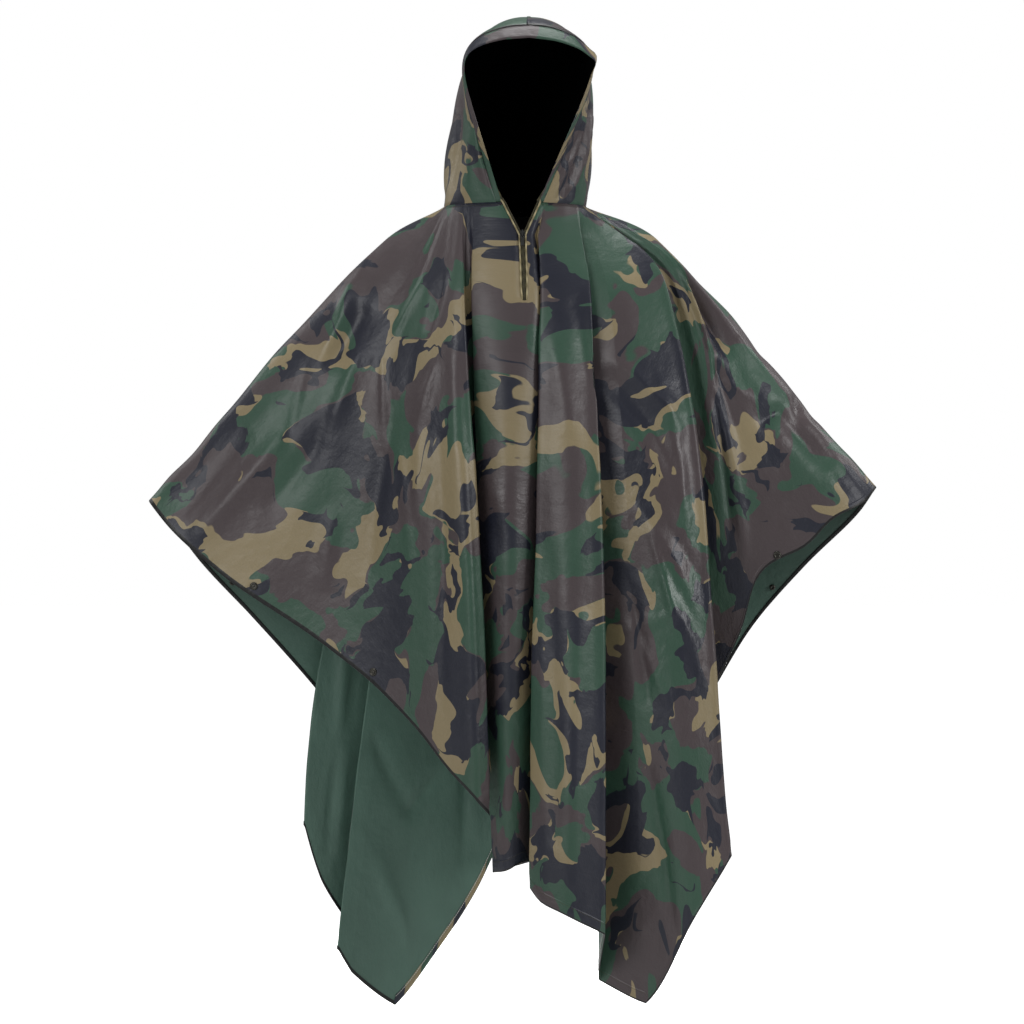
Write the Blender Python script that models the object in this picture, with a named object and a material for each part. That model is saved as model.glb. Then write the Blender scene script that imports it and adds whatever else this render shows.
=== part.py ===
"""Hooded rain poncho, filled out as it is worn, with nobody in it.

Metres, +Z up, front towards -Y. The origin is the middle of the neck seam, where the garment is held up.
The body is one rectangular sheet with a neck hole, so every fold runs from the neck ring to the lower edge.
Each panel is a fan of such folds: a table row says where a fold leaves the ring, where it crosses the
chest and where it ends, and a spline carries the cloth from one fold to the next.
"""

import math

import bmesh
import bpy
from mathutils import Matrix, Vector

MM = 0.001
MERGE_GAP = 0.01 * MM  # points closer than this are one
NO_LENGTH = 1e-9

# cloth and seams
WALL = 1.2 * MM
SEAM_GAP = 0.3 * MM
RIDGE_GAP = 0.4 * MM  # from the shoulder line's plane to each panel
RIDGE_SHARE = 0.15  # first column beside the shoulder line, as a share of the way to the next fold
COLUMN_PITCH = 38 * MM  # cloth between two columns of the mesh, along the lower edge
EDGE_SAMPLES = 8  # chords that measure the lower edge between two folds

# neck ring, in plan
NECK_HALF_WIDTH = 107 * MM
NECK_HALF_DEPTH = 88 * MM

# where a fold crosses the chest, as a share of its length, and the mesh's levels
CHEST = 0.18
SHOULDER_TURN = 0.7  # how fully a fold has turned to its fall by then
LEVELS = (0, 0.025, 0.05, 0.08, 0.115, 0.15, 0.19, 0.25, 0.32, 0.40, 0.48, 0.56, 0.64, 0.73, 0.82, 0.91, 1)

# neck slit: half width at the ring, at the slider and at the bottom stop
SLIT_TOP = 28 * MM
SLIT_SLIDER = 4.6 * MM
SLIT_END = 3.2 * MM
SLIDER_Z = -50 * MM
SLIT_REACH = 70 * MM  # cloth beside the slit that gives way to it
SLIT_LEVELS = 6  # levels that the slit cuts, from the ring down
SLIT_FADE = 0.05  # level by which the parted cloth no longer keeps to the neck ring
SLIT_FOLD = "zip_line"

# the folds, in millimetres: bow is how far the middle of a fold swings out in x and y, and softness
# goes from 0, a pressed edge, to 1, a round one
FOLD_COLUMNS = ("name", "ring_deg", "chest", "end", "bow", "softness")
FRONT_FOLDS = (
    ("left_ridge", 0, (-196, 0, -51), (-549, 0, -440), (0, 0), 1.0),
    ("left_roll", 8, (-184, -38, -80), (-515, -36, -480), (0, 0), 1.0),
    ("left_sleeve", 14, (-168, -58, -115), (-445, -58, -542), (0, 0), 1.0),
    ("left_wing", 20, (-149, -78, -140), (-280, -85, -654), (0, 0), 1.0),
    ("left_snap", 26, (-131, -94, -151), (-201, -112, -716), (0, -6), 1.0),
    ("left_flank", 31, (-113, -108, -158), (-147, -138, -770), (0, -10), 1.0),
    ("left_bulge", 36, (-97, -120, -163), (-87, -168, -843), (0, -12), 1.0),
    ("fold_a_crest", 40, (-85, -127, -167), (-54, -186, -876), (4, -12), 1.0),
    ("fold_a_edge", 43, (-76, -127, -168), (-36, -172, -896), (4, -8), 0.2),
    ("fold_a_under", 46, (-77, -114, -166), (-92, -128, -828), (0, 0), 0.3),
    ("tucked_corner", 50, (-60, -100, -167), (74, -26, -958), (0, 0), 0.5),
    ("centre_edge", 55, (-63, -117, -169), (-33, -126, -984), (0, 0), 0.3),
    ("centre_crest", 72, (-26, -130, -174), (-7, -164, -975), (0, -8), 1.0),
    ("zip_line", 95, (14, -131, -177), (8, -158, -967), (0, -6), 1.0),
    ("zip_flank", 98, (29, -127, -177), (24, -138, -967), (0, 0), 0.8),
    ("fold_b_valley", 101, (48, -97, -177), (66, -76, -975), (0, 0), 0.3),
    ("fold_b_edge", 105, (38, -126, -178), (21, -182, -1001), (-3, -6), 0.3),
    ("fold_b_roll", 113, (52, -130, -178), (36, -206, -1018), (-2, -8), 0.9),
    ("right_crest", 128, (77, -130, -177), (70, -222, -1034), (0, -12), 1.0),
    ("fold_c_edge", 148, (111, -120, -172), (129, -205, -1065), (4, -8), 0.1),
    ("fold_c_valley", 151, (110, -103, -171), (124, -118, -1143), (0, 0), 0.2),
    ("front_corner", 156, (142, -108, -167), (190, -150, -1172), (0, -6), 0.4),
    ("front_side", 162, (184, -96, -151), (259, -180, -1045), (0, -10), 1.0),
    ("fold_d_edge", 167, (220, -74, -119), (314, -165, -956), (-3, -6), 0.1),
    ("fold_d_valley", 169, (211, -54, -113), (201, -48, -885), (0, 0), 0.3),
    ("right_under", 171, (230, -52, -115), (284, -45, -740), (0, 0), 1.0),
    ("right_wing", 173, (233, -53, -101), (334, -58, -635), (0, 0), 1.0),
    ("right_snap", 175, (232, -50, -89), (359, -60, -564), (0, 0), 1.0),
    ("right_sleeve", 176.5, (226, -44, -77), (441, -52, -506), (-4, 0), 1.0),
    ("right_roll", 178, (219, -32, -64), (515, -35, -450), (-6, 0), 1.0),
    ("right_ridge", 180, (210, 0, -47), (542, 0, -420), (-6, 0), 1.0),
)
BACK_FOLDS = (
    ("left_ridge", 0, (-196, 0, -51), (-549, 0, -440), (0, 0), 1.0),
    ("left_roll", 8, (-184, 38, -80), (-515, 36, -480), (0, 0), 1.0),
    ("left_sleeve", 14, (-171, 60, -108), (-479, 66, -531), (0, 0), 1.0),
    ("left_wing", 20, (-155, 84, -131), (-403, 98, -616), (0, 0), 1.0),
    ("left_under", 25, (-145, 102, -139), (-284, 142, -758), (0, 8), 1.0),
    ("fold_i_edge", 29, (-131, 110, -142), (-230, 162, -834), (0, 8), 0.3),
    ("fold_h_edge", 32, (-132, 98, -146), (-322, 98, -936), (-42, 0), 0.2),
    ("left_layer", 35, (-125, 103, -147), (-297, 106, -1020), (-32, 0), 0.8),
    ("fold_j_edge", 39, (-112, 114, -148), (-225, 134, -1140), (-8, 4), 0.3),
    ("fold_f_edge", 42, (-112, 104, -150), (-270, 84, -1124), (-18, 0), 0.15),
    ("left_round", 46, (-104, 110, -151), (-250, 94, -1160), (-14, 0), 0.4),
    ("left_corner", 53, (-84, 122, -153), (-185, 134, -1216), (0, 8), 0.3),
    ("left_hem", 62, (-57, 132, -156), (-116, 160, -1129), (0, 10), 1.0),
    ("left_hem_rise", 72, (-32, 138, -159), (-60, 176, -1044), (0, 10), 1.0),
    ("fold_k_edge", 82, (-8, 138, -160), (-22, 174, -968), (0, 8), 0.5),
    ("fold_k_valley", 89, (8, 112, -163), (12, 88, -964), (0, 0), 0.4),
    ("fold_l_crest", 101, (38, 138, -162), (62, 204, -990), (0, 10), 0.9),
    ("fold_l_valley", 112, (66, 116, -163), (92, 118, -1016), (0, 0), 0.6),
    ("fold_m_crest", 126, (100, 130, -160), (146, 198, -1064), (0, 10), 0.8),
    ("fold_m_valley", 137, (130, 104, -154), (178, 96, -1110), (0, 0), 0.4),
    ("right_corner", 147, (158, 108, -147), (217, 160, -1159), (0, 8), 0.4),
    ("right_side", 156, (185, 100, -138), (250, 172, -1083), (0, 8), 1.0),
    ("fold_p_edge", 162, (212, 84, -122), (295, 152, -980), (4, 6), 0.2),
    ("fold_p_valley", 166, (206, 60, -116), (213, 66, -880), (0, 0), 0.3),
    ("right_under", 170, (231, 62, -107), (302, 84, -729), (0, 0), 1.0),
    ("right_wing", 173, (237, 60, -93), (362, 84, -631), (0, 0), 1.0),
    ("right_sleeve", 175.5, (229, 48, -73), (441, 66, -538), (-4, 0), 1.0),
    ("right_roll", 178, (219, 32, -64), (524, 35, -452), (-6, 0), 1.0),
    ("right_ridge", 180, (210, 0, -47), (542, 0, -420), (-6, 0), 1.0),
)

# the hood's ribs, from the face edge over the crown to the nape, in millimetres: each goes from the ring,
# 0 degrees in front and 180 at the nape, straight up its side to a corner and over in an arch to the
# centre seam, and squareness says how tight the corner is
RIB_COLUMNS = ("name", "foot_deg", "half_width", "side_y", "corner_z", "top_y", "top_z", "squareness")
HOOD_RIBS = (
    ("face", 15, 106, -112, 209, -116, 238, 10.0),
    ("band", 19, 113, -96, 216, -100, 258, 7.5),
    ("brow", 43, 106, -50, 221, -50, 276, 5.2),
    ("crown", 81, 110, 20, 227, 20, 283, 4.2),
    ("back", 123, 95, 85, 200, 92, 250, 2.8),
    ("low_back", 153, 62, 112, 130, 124, 165, 2.4),
    ("nape", 169, 32, 104, 58, 113, 72, 2.2),
)
RIB_STEPS = (1, 2, 3, 3, 3, 3, 3)  # mesh steps between one rib and the next
RIB_POINTS = 15
RIB_SAMPLES = 240
FRONT_MIDDLE_DEG = 95  # where the zip line and the hood's middle plane meet the ring
HOOD_LEAN = 0.05  # sideways lean of that plane, per metre of height
HOOD_TIP = 0.1  # how much the brim tips to one side, per metre of height
BAND_PARTING = 0.03  # of a rib step, between the face band and the side panels
CENTRE_PARTING = 0.45 * MM  # from the hood's middle plane to each side panel

# zip
TAPE_WALL = 1.0 * MM
TAPE_TOP_Z = 22 * MM  # how far the tapes run up the hood's face edge
TAPE_GAP = 0.6 * MM  # from the slit's edge, more than at a seam because the cloth leans there
TAPE_END_SHARE = 0.96  # where they end, as a share of the slit's last level
SLIDER_WIDTH = 7.0 * MM
SLIDER_LENGTH = 10.0 * MM
SLIDER_PLATE = 1.6 * MM
SLIDER_NECK_WIDTH = 2.4 * MM
SLIDER_NECK_LENGTH = 2.4 * MM
BRIDGE_WIDTH = 2.2 * MM
BRIDGE_WALL = 1.1 * MM
BRIDGE_LENGTH = 7.4 * MM
BRIDGE_RISE = 2.6 * MM  # clear height under the bridge
FOOT_EXTRA = 0.01 * MM  # the bridge's feet are this much wider than its bar, so no faces coincide
SLIDER_BITE = 0.5 * MM  # how far the slider's blocks run into each other
SLIDER_SLACK = 0.4 * MM  # between the tapes' backs and the slider's back plate
HINGE_DROP = 1.1 * MM  # from the bridge's head to the tab's hinge axis
TAB_LENGTH = 20 * MM
TAB_WIDTH = 6.2 * MM
TAB_END_WIDTH = 5.0 * MM
TAB_WALL = 1.2 * MM
TAB_WINDOW_WIDTH = 3.2 * MM
TAB_WINDOW_LENGTH = 5.2 * MM

# press snaps: each lies beside the side edge, in the cell of the mesh that is so many cells on from a fold
SNAP_RADIUS = 6.0 * MM
SNAP_CAP_HEIGHT = 2.0 * MM
SNAP_STUD_RADIUS = 4.4 * MM
SNAP_STUD_HEIGHT = 2.4 * MM
SNAP_RIM = 1.6 * MM
SNAP_STUD_RIM = 1.2 * MM
SNAP_SHOULDER = 0.45  # height of a button's upright wall, as a share of its height
SNAP_GAP = 0.6 * MM  # from the cloth to a button
SNAP_SIDES = 12
SNAP_INSET = 14 * MM
SNAP_COLUMNS = ("name", "panel", "fold", "cells_on")
SNAPS = (
    ("front_left_upper", "front", "left_sleeve", 1),
    ("front_left_lower", "front", "left_wing", 2),
    ("front_right_upper", "front", "right_snap", 1),
    ("front_right_lower", "front", "right_under", 0),
    ("back_left_upper", "back", "left_sleeve", 1),
    ("back_left_lower", "back", "left_wing", 4),
    ("back_right_upper", "back", "right_wing", 1),
    ("back_right_lower", "back", "right_under", 0),
)

COLOURS = {
    "camouflage_cloth": (0.060, 0.085, 0.055, 1.0),
    "hood_cloth": (0.055, 0.075, 0.050, 1.0),
    "zip_tape": (0.235, 0.200, 0.110, 1.0),
    "zip_metal": (0.045, 0.042, 0.036, 1.0),
    "snap_metal": (0.030, 0.032, 0.030, 1.0),
}


def clear_scene():
    for thing in list(bpy.data.objects):
        bpy.data.objects.remove(thing, do_unlink=True)


def collection(name):
    made = bpy.data.collections.new(name)
    bpy.context.scene.collection.children.link(made)
    return made


def material(name, roughness, metallic):
    made = bpy.data.materials.new(name)
    made.use_nodes = True
    shader = made.node_tree.nodes["Principled BSDF"]
    shader.inputs["Base Color"].default_value = COLOURS[name]
    shader.inputs["Roughness"].default_value = roughness
    shader.inputs["Metallic"].default_value = metallic
    made.diffuse_color = COLOURS[name]
    return made


def mesh_object(name, mesh, finish, home):
    made = bpy.data.objects.new(name, mesh)
    mesh.materials.append(finish)
    home.objects.link(made)
    return made


# ---------------------------------------------------------------- splines and shells


def hermite(start, end, leave, arrive, share):
    a = share * share
    b = a * share
    along = start * (2 * b - 3 * a + 1) + end * (3 * a - 2 * b)
    return along + leave * (b - 2 * a + share) + arrive * (b - a)


def through_keys(points, softness, position):
    """Point on the cloth between keys: position 3.25 is a quarter of the way from key 3 to key 4."""
    last = len(points) - 1
    key = min(int(position), last - 1)
    share = position - key
    span = (points[key + 1] - points[key]).length
    if span < NO_LENGTH:
        return points[key].copy()
    leave = key_slope(points, softness, key, 1) * span
    arrive = key_slope(points, softness, key + 1, -1) * span
    return hermite(points[key], points[key + 1], leave, arrive, share)


def key_slope(points, softness, key, way):
    """Slope at a key as the curve leaves (way 1) or reaches (way -1) it: the chord's, eased by softness."""
    chord = points[key + way] - points[key]
    straight = chord * (way / max(chord.length, NO_LENGTH))
    before = points[max(key - 1, 0)]
    after = points[min(key + 1, len(points) - 1)]
    if key in (0, len(points) - 1):
        return straight
    back = points[key] - before
    ahead = after - points[key]
    reach = back.length + ahead.length
    if min(back.length, ahead.length) < NO_LENGTH:
        return straight
    eased = back * (ahead.length / back.length / reach) + ahead * (back.length / ahead.length / reach)
    return straight.lerp(eased, softness[key])


def two_facets(points):
    """A cell's two triangles, parted by its shorter diagonal: the one on its lower edge comes first."""
    upper_left, lower_left, lower_right, upper_right = range(4)
    falling = (points[upper_left] - points[lower_right]).length
    rising = (points[lower_left] - points[upper_right]).length
    if falling < rising:
        return (upper_left, lower_left, lower_right), (upper_left, lower_right, upper_right)
    return (lower_left, lower_right, upper_right), (upper_left, lower_left, upper_right)


def cell(rows, r, c):
    return rows[r][c], rows[r + 1][c], rows[r + 1][c + 1], rows[r][c + 1]


def inward(vert, vert_column, face_column):
    """Direction into the cloth at a point: both sides of a fold count alike, however their facets fall."""
    before, after = Vector(), Vector()
    for face in vert.link_faces:
        if face[face_column] < vert[vert_column]:
            before += face.normal
        else:
            after += face.normal
    return -(before.normalized() + after.normalized()).normalized()


def shell(name, rows, finish, home, outward=1, wall=WALL, cut=None, level_ends=False):
    """Cloth wall on a grid of points: its outer face, the same moved inwards, and the rims between."""
    sheet = bmesh.new()
    vert_column = sheet.verts.layers.int.new("column")
    face_column = sheet.faces.layers.int.new("column")
    grid = [[sheet.verts.new(point) for point in row] for row in rows]
    for row in grid:
        for c, vert in enumerate(row):
            vert[vert_column] = c
    for r in range(len(grid) - 1):
        for c in range(len(grid[r]) - 1):
            if cut and cut(r, c):
                continue
            corners = cell(grid, r, c)
            for facet in two_facets(cell(rows, r, c)):
                face = sheet.faces.new([corners[n] for n in (facet if outward > 0 else facet[::-1])])
                face[face_column] = c
    bmesh.ops.remove_doubles(sheet, verts=sheet.verts, dist=MERGE_GAP)
    bmesh.ops.delete(sheet, geom=[v for v in sheet.verts if not v.link_faces], context="VERTS")
    sheet.normal_update()
    last = len(rows[0]) - 1
    inner = {}
    for vert in list(sheet.verts):
        place = vert.co + inward(vert, vert_column, face_column) * wall
        if level_ends and vert[vert_column] in (0, last):
            place.y = vert.co.y
        inner[vert] = sheet.verts.new(place)
    rims = []
    for edge in sheet.edges:
        if edge.is_boundary:
            loop = edge.link_loops[0]
            rims.append((loop.vert, loop.link_loop_next.vert))
    for face in list(sheet.faces):
        sheet.faces.new([inner[vert] for vert in reversed(face.verts)])
    for start, end in rims:
        sheet.faces.new((end, start, inner[start], inner[end]))
    mesh = bpy.data.meshes.new(name)
    sheet.to_mesh(mesh)
    sheet.free()
    return mesh_object(name, mesh, finish, home)


# ---------------------------------------------------------------- body panels


def neck_ring(degrees, side):
    """Point of the neck seam: 0 degrees is the left end, 90 the middle, 180 the right end."""
    turn = math.radians(degrees)
    return Vector((-NECK_HALF_WIDTH * math.cos(turn), side * NECK_HALF_DEPTH * math.sin(turn), 0))


def on_fold(fold, side, t):
    """Point at t along a fold, from the ring (0) over the chest (CHEST) to the lower edge (1)."""
    row = dict(zip(FOLD_COLUMNS, fold))
    top = neck_ring(row["ring_deg"], side) - Vector((0, 0, 2 * SEAM_GAP))
    chest = Vector(row["chest"]) * MM
    end = Vector(row["end"]) * MM
    fall = (end - chest) / (1 - CHEST)
    turn = ((chest - top) / CHEST).lerp(fall, SHOULDER_TURN)
    if t <= CHEST:
        return hermite(top, chest, chest - top, turn * CHEST, t / CHEST)
    share = (t - CHEST) / (1 - CHEST)
    swing = 4 * share * (1 - share)
    bow = Vector((row["bow"][0], row["bow"][1], 0)) * MM * swing
    return hermite(chest, end, turn * (1 - CHEST), end - chest, share) + bow


def panel_level(folds, side, t):
    """The folds' points at one level, with the two ends rolled level over the shoulder line."""
    points = [on_fold(fold, side, t) for fold in folds]
    softness = [dict(zip(FOLD_COLUMNS, fold))["softness"] for fold in folds]
    first = Vector((points[1].x, -points[1].y, points[1].z))
    last = Vector((points[-2].x, -points[-2].y, points[-2].z))
    return [first] + points + [last], [1.0] + softness + [1.0]


def panel_point(folds, side, position, t):
    points, softness = panel_level(folds, side, t)
    point = through_keys(points, softness, position + 1)
    if abs(point.y) < RIDGE_GAP:
        point.y = side * RIDGE_GAP
    return point


def panel_positions(folds, side):
    """Columns of the mesh, as positions among the folds: more of them where the lower edge is longer."""
    positions = []
    points, softness = panel_level(folds, side, 1)
    for key in range(len(folds) - 1):
        shares = [n / EDGE_SAMPLES for n in range(EDGE_SAMPLES + 1)]
        samples = [through_keys(points, softness, key + 1 + share) for share in shares]
        reach = sum((b - a).length for a, b in zip(samples, samples[1:]))
        steps = max(1, round(reach / COLUMN_PITCH))
        positions += [key + n / steps for n in range(steps)]
    last = len(folds) - 1
    return [0, RIDGE_SHARE] + positions[1:] + [last - RIDGE_SHARE, last]


def slit_half_width(z):
    if z > SLIDER_Z:
        return SLIT_SLIDER + (SLIT_TOP - SLIT_SLIDER) * (1 - z / SLIDER_Z)
    return SLIT_SLIDER


def slit_place(point, middle, side, half, level):
    """Moves cloth beside the neck slit away from its middle, and keeps the top edge on the neck ring."""
    off = point.x - middle
    if abs(off) >= SLIT_REACH:
        return point
    moved = point.copy()
    moved.x = middle + side * (half + abs(off) * (1 - half / SLIT_REACH))
    fade = max(0.0, 1 - level / SLIT_FADE)
    before = math.sqrt(max(0.0, 1 - (point.x / NECK_HALF_WIDTH) ** 2))
    after = math.sqrt(max(0.0, 1 - (moved.x / NECK_HALF_WIDTH) ** 2))
    moved.y -= NECK_HALF_DEPTH * (after - before) * fade
    return moved


def front_rows():
    """Grid of the front panel, with a double column down the neck slit, and that column's number."""
    names = [fold[0] for fold in FRONT_FOLDS]
    middle = names.index(SLIT_FOLD)
    positions = panel_positions(FRONT_FOLDS, -1)
    seam = positions.index(middle)
    rows = []
    for number, t in enumerate(LEVELS):
        row = [panel_point(FRONT_FOLDS, -1, p, t) for p in positions]
        centre = row[seam].copy()
        if number < SLIT_LEVELS:
            half = slit_half_width(centre.z)
            if number == SLIT_LEVELS - 1:
                half = SLIT_END
            left = [slit_place(p, centre.x, -1, half, t) for p in row[: seam + 1]]
            right = [slit_place(p, centre.x, 1, half, t) for p in row[seam:]]
        else:
            left, right = row[: seam + 1], row[seam:]
        rows.append(left + right)
    return rows, seam


def build_front(finish, home):
    rows, seam = front_rows()

    def slit(r, c):
        return c == seam and r < SLIT_LEVELS - 1

    return shell("front_panel", rows, finish, home, cut=slit, level_ends=True)


def back_rows():
    positions = panel_positions(BACK_FOLDS, 1)
    return [[panel_point(BACK_FOLDS, 1, p, t) for p in positions] for t in LEVELS]


def build_back(finish, home):
    return shell("back_panel", back_rows(), finish, home, outward=-1, level_ends=True)


# ---------------------------------------------------------------- hood


def hood_middle(z):
    return neck_ring(FRONT_MIDDLE_DEG, -1).x + HOOD_LEAN * z


def rib_foot(degrees, side):
    """Place on the ring, counted round from the front middle (0 degrees) to the nape (180)."""
    quarter = FRONT_MIDDLE_DEG if side < 0 else 180 - FRONT_MIDDLE_DEG
    foot = neck_ring(FRONT_MIDDLE_DEG + side * degrees * quarter / 90, -1)
    foot.x += side * CENTRE_PARTING
    return foot


def rib_curve(rib, side):
    """One rib, from the ring (side -1 left, 1 right) to the centre seam, in equal steps."""
    row = dict(zip(RIB_COLUMNS, rib))
    foot = rib_foot(row["foot_deg"], side)
    corner_z, top_z = row["corner_z"] * MM, row["top_z"] * MM
    corner = Vector((hood_middle(corner_z) + side * row["half_width"] * MM, row["side_y"] * MM, corner_z))
    top = Vector((hood_middle(top_z) + side * CENTRE_PARTING, row["top_y"] * MM, top_z))
    rise = corner - foot
    over = top - corner
    power = 2 / row["squareness"]
    fine = []
    for n in range(RIB_SAMPLES + 1):
        turn = math.pi / 2 * n / RIB_SAMPLES
        up = math.sin(turn) ** power
        across = 1 - max(0.0, math.cos(turn)) ** power
        arch = Vector((over.x * across, over.y * across, over.z * across * (2 - across)))
        point = foot + rise * up + arch
        point.z -= HOOD_TIP * (point.x - hood_middle(point.z)) * point.z
        fine.append(point)
    return equal_steps(fine, RIB_POINTS)


def equal_steps(points, steps):
    """The same curve with its points at equal distances."""
    reach = [0.0]
    for n in range(1, len(points)):
        reach.append(reach[-1] + (points[n] - points[n - 1]).length)
    made = []
    n = 1
    for step in range(steps + 1):
        want = reach[-1] * step / steps
        while n < len(points) - 1 and reach[n] < want:
            n += 1
        span = max(reach[n] - reach[n - 1], NO_LENGTH)
        made.append(points[n - 1].lerp(points[n], min(1.0, (want - reach[n - 1]) / span)))
    return made


def hood_point(ribs, number, position):
    """Point number along the ribs, at a position among them: 1.5 is halfway between ribs 1 and 2."""
    points = [rib[number] for rib in ribs]
    return through_keys(points, [1.0] * len(points), position)


def hood_grid(side, positions):
    """Grid of one side of the hood; behind the last rib all of it runs into the nape."""
    ribs = [rib_curve(rib, side) for rib in HOOD_RIBS]
    ribs.append([rib_foot(180, side)] * (RIB_POINTS + 1))
    return [[hood_point(ribs, n, p) for p in positions] for n in range(RIB_POINTS + 1)]


def build_hood(finish, home):
    positions = [1 + BAND_PARTING]
    for rib, steps in enumerate(RIB_STEPS[1:], start=1):
        positions += [rib + n / steps for n in range(1, steps + 1)]
    shell("hood_left_panel", hood_grid(-1, positions), finish, home, outward=-1)
    shell("hood_right_panel", hood_grid(1, positions), finish, home, outward=1)


def build_face_band(finish, home):
    positions = [0, 1 - BAND_PARTING]
    left = hood_grid(-1, positions)
    right = hood_grid(1, positions)
    rows = left[:-1] + [[(a + b) / 2 for a, b in zip(left[-1], right[-1])]] + right[-2::-1]
    return shell("hood_face_band", rows, finish, home, outward=-1)


# ---------------------------------------------------------------- zip


def slit_edge(side):
    """The slit's edge on one side, from the hood's face edge down to the bottom stop."""
    rows, seam = front_rows()
    column = seam if side < 0 else seam + 1
    face = rib_curve(HOOD_RIBS[0], side)
    share = TAPE_TOP_Z / face[1].z
    clear = Vector((-side * WALL, 0, 0))  # inside the face band's own wall
    edge = [face[0].lerp(face[1], share) + clear, face[0].lerp(face[1], share / 2) + clear]
    edge += [rows[r][column] for r in range(SLIT_LEVELS - 1)]
    return edge + [edge[-1].lerp(rows[SLIT_LEVELS - 1][column], TAPE_END_SHARE)]


def build_tapes(finish, home):
    for side, name in ((-1, "zip_tape_left"), (1, "zip_tape_right")):
        other = slit_edge(-side)
        rows = []
        for edge, far in zip(slit_edge(side), other):
            middle = (edge.x + far.x) / 2
            room = abs(middle - edge.x) - SEAM_GAP / 2
            width = min(room, SLIT_SLIDER - SEAM_GAP / 2) - TAPE_GAP
            outer = edge - Vector((side * TAPE_GAP, 0, 0))
            inner = outer - Vector((side * width, 0, 0))
            rows.append([outer, inner] if side < 0 else [inner, outer])
        shell(name, rows, finish, home, wall=TAPE_WALL)


def slider_frame():
    """Where the slider sits: its middle on the tapes, turned to their slope."""
    left = slit_edge(-1)
    right = slit_edge(1)
    middles = [(a + b) / 2 for a, b in zip(left, right)]
    n = next(n for n in range(1, len(middles)) if middles[n].z <= SLIDER_Z)
    upper, lower = middles[n - 1], middles[n]
    place = upper.lerp(lower, (SLIDER_Z - upper.z) / (lower.z - upper.z))
    n = min(n, len(middles) - 2)
    run = middles[n + 1] - middles[n - 1]
    lean = math.atan2(run.y, run.z) - math.pi
    return Matrix.Translation(place) @ Matrix.Rotation(-lean, 4, "X")


def box_mesh(name, size, centre):
    solid = bmesh.new()
    bmesh.ops.create_cube(solid, size=1)
    bmesh.ops.scale(solid, vec=size, verts=solid.verts)
    bmesh.ops.translate(solid, vec=centre, verts=solid.verts)
    mesh = bpy.data.meshes.new(name)
    solid.to_mesh(mesh)
    solid.free()
    return mesh


def joined(piece, name, mesh, cutters, operation="UNION"):
    """Adds or cuts another closed mesh with a Boolean; its own object is only a guide."""
    guide = bpy.data.objects.new(name, mesh)
    guide.matrix_world = piece.matrix_world
    guide.hide_render = True
    guide.display_type = "WIRE"
    cutters.objects.link(guide)
    change = piece.modifiers.new(name, "BOOLEAN")
    change.operation = operation
    change.object = guide


def build_slider(finish, home, cutters):
    """Front and back plates joined by a neck between the tapes, with a bridge across the front."""
    frame = slider_frame()
    front_y = -SEAM_GAP - SLIDER_PLATE / 2
    back_y = TAPE_WALL + SEAM_GAP + SLIDER_PLATE / 2 + SLIDER_SLACK
    neck_z = SLIDER_LENGTH / 2 + SLIDER_NECK_LENGTH / 2
    plate = (SLIDER_WIDTH, SLIDER_PLATE, SLIDER_LENGTH)
    slider = mesh_object("zip_slider", box_mesh("zip_slider", plate, (0, front_y, 0)), finish, home)
    slider.matrix_world = frame
    joined(slider, "slider_back", box_mesh("slider_back", plate, (0, back_y, 0)), cutters)
    neck_depth = back_y - front_y + SLIDER_PLATE
    neck = (SLIDER_NECK_WIDTH, neck_depth, SLIDER_NECK_LENGTH + 2 * SLIDER_BITE)
    middle_y = (front_y + back_y) / 2
    neck_place = (0, middle_y, neck_z - SLIDER_BITE)
    joined(slider, "slider_neck", box_mesh("slider_neck", neck, neck_place), cutters)
    bar_y = front_y - SLIDER_PLATE / 2 - BRIDGE_RISE - BRIDGE_WALL / 2
    bar = (BRIDGE_WIDTH, BRIDGE_WALL, BRIDGE_LENGTH)
    joined(slider, "bridge_bar", box_mesh("bridge_bar", bar, (0, bar_y, 0)), cutters)
    foot_depth = BRIDGE_RISE + BRIDGE_WALL + SLIDER_BITE
    for way, name in ((1, "bridge_head"), (-1, "bridge_foot")):
        foot_y = front_y - SLIDER_PLATE / 2 + SLIDER_BITE - foot_depth / 2
        centre = (0, foot_y, way * (BRIDGE_LENGTH - BRIDGE_WALL) / 2)
        foot = (BRIDGE_WIDTH + FOOT_EXTRA, foot_depth, BRIDGE_WALL)
        joined(slider, name, box_mesh(name, foot, centre), cutters)
    return slider


def hinge_place():
    """The tab's hinge axis: across the slider, in the middle of the space under its bridge."""
    depth = -SEAM_GAP - SLIDER_PLATE - BRIDGE_RISE / 2
    return slider_frame() @ Matrix.Translation((0, depth, BRIDGE_LENGTH / 2 - BRIDGE_WALL - HINGE_DROP))


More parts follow.
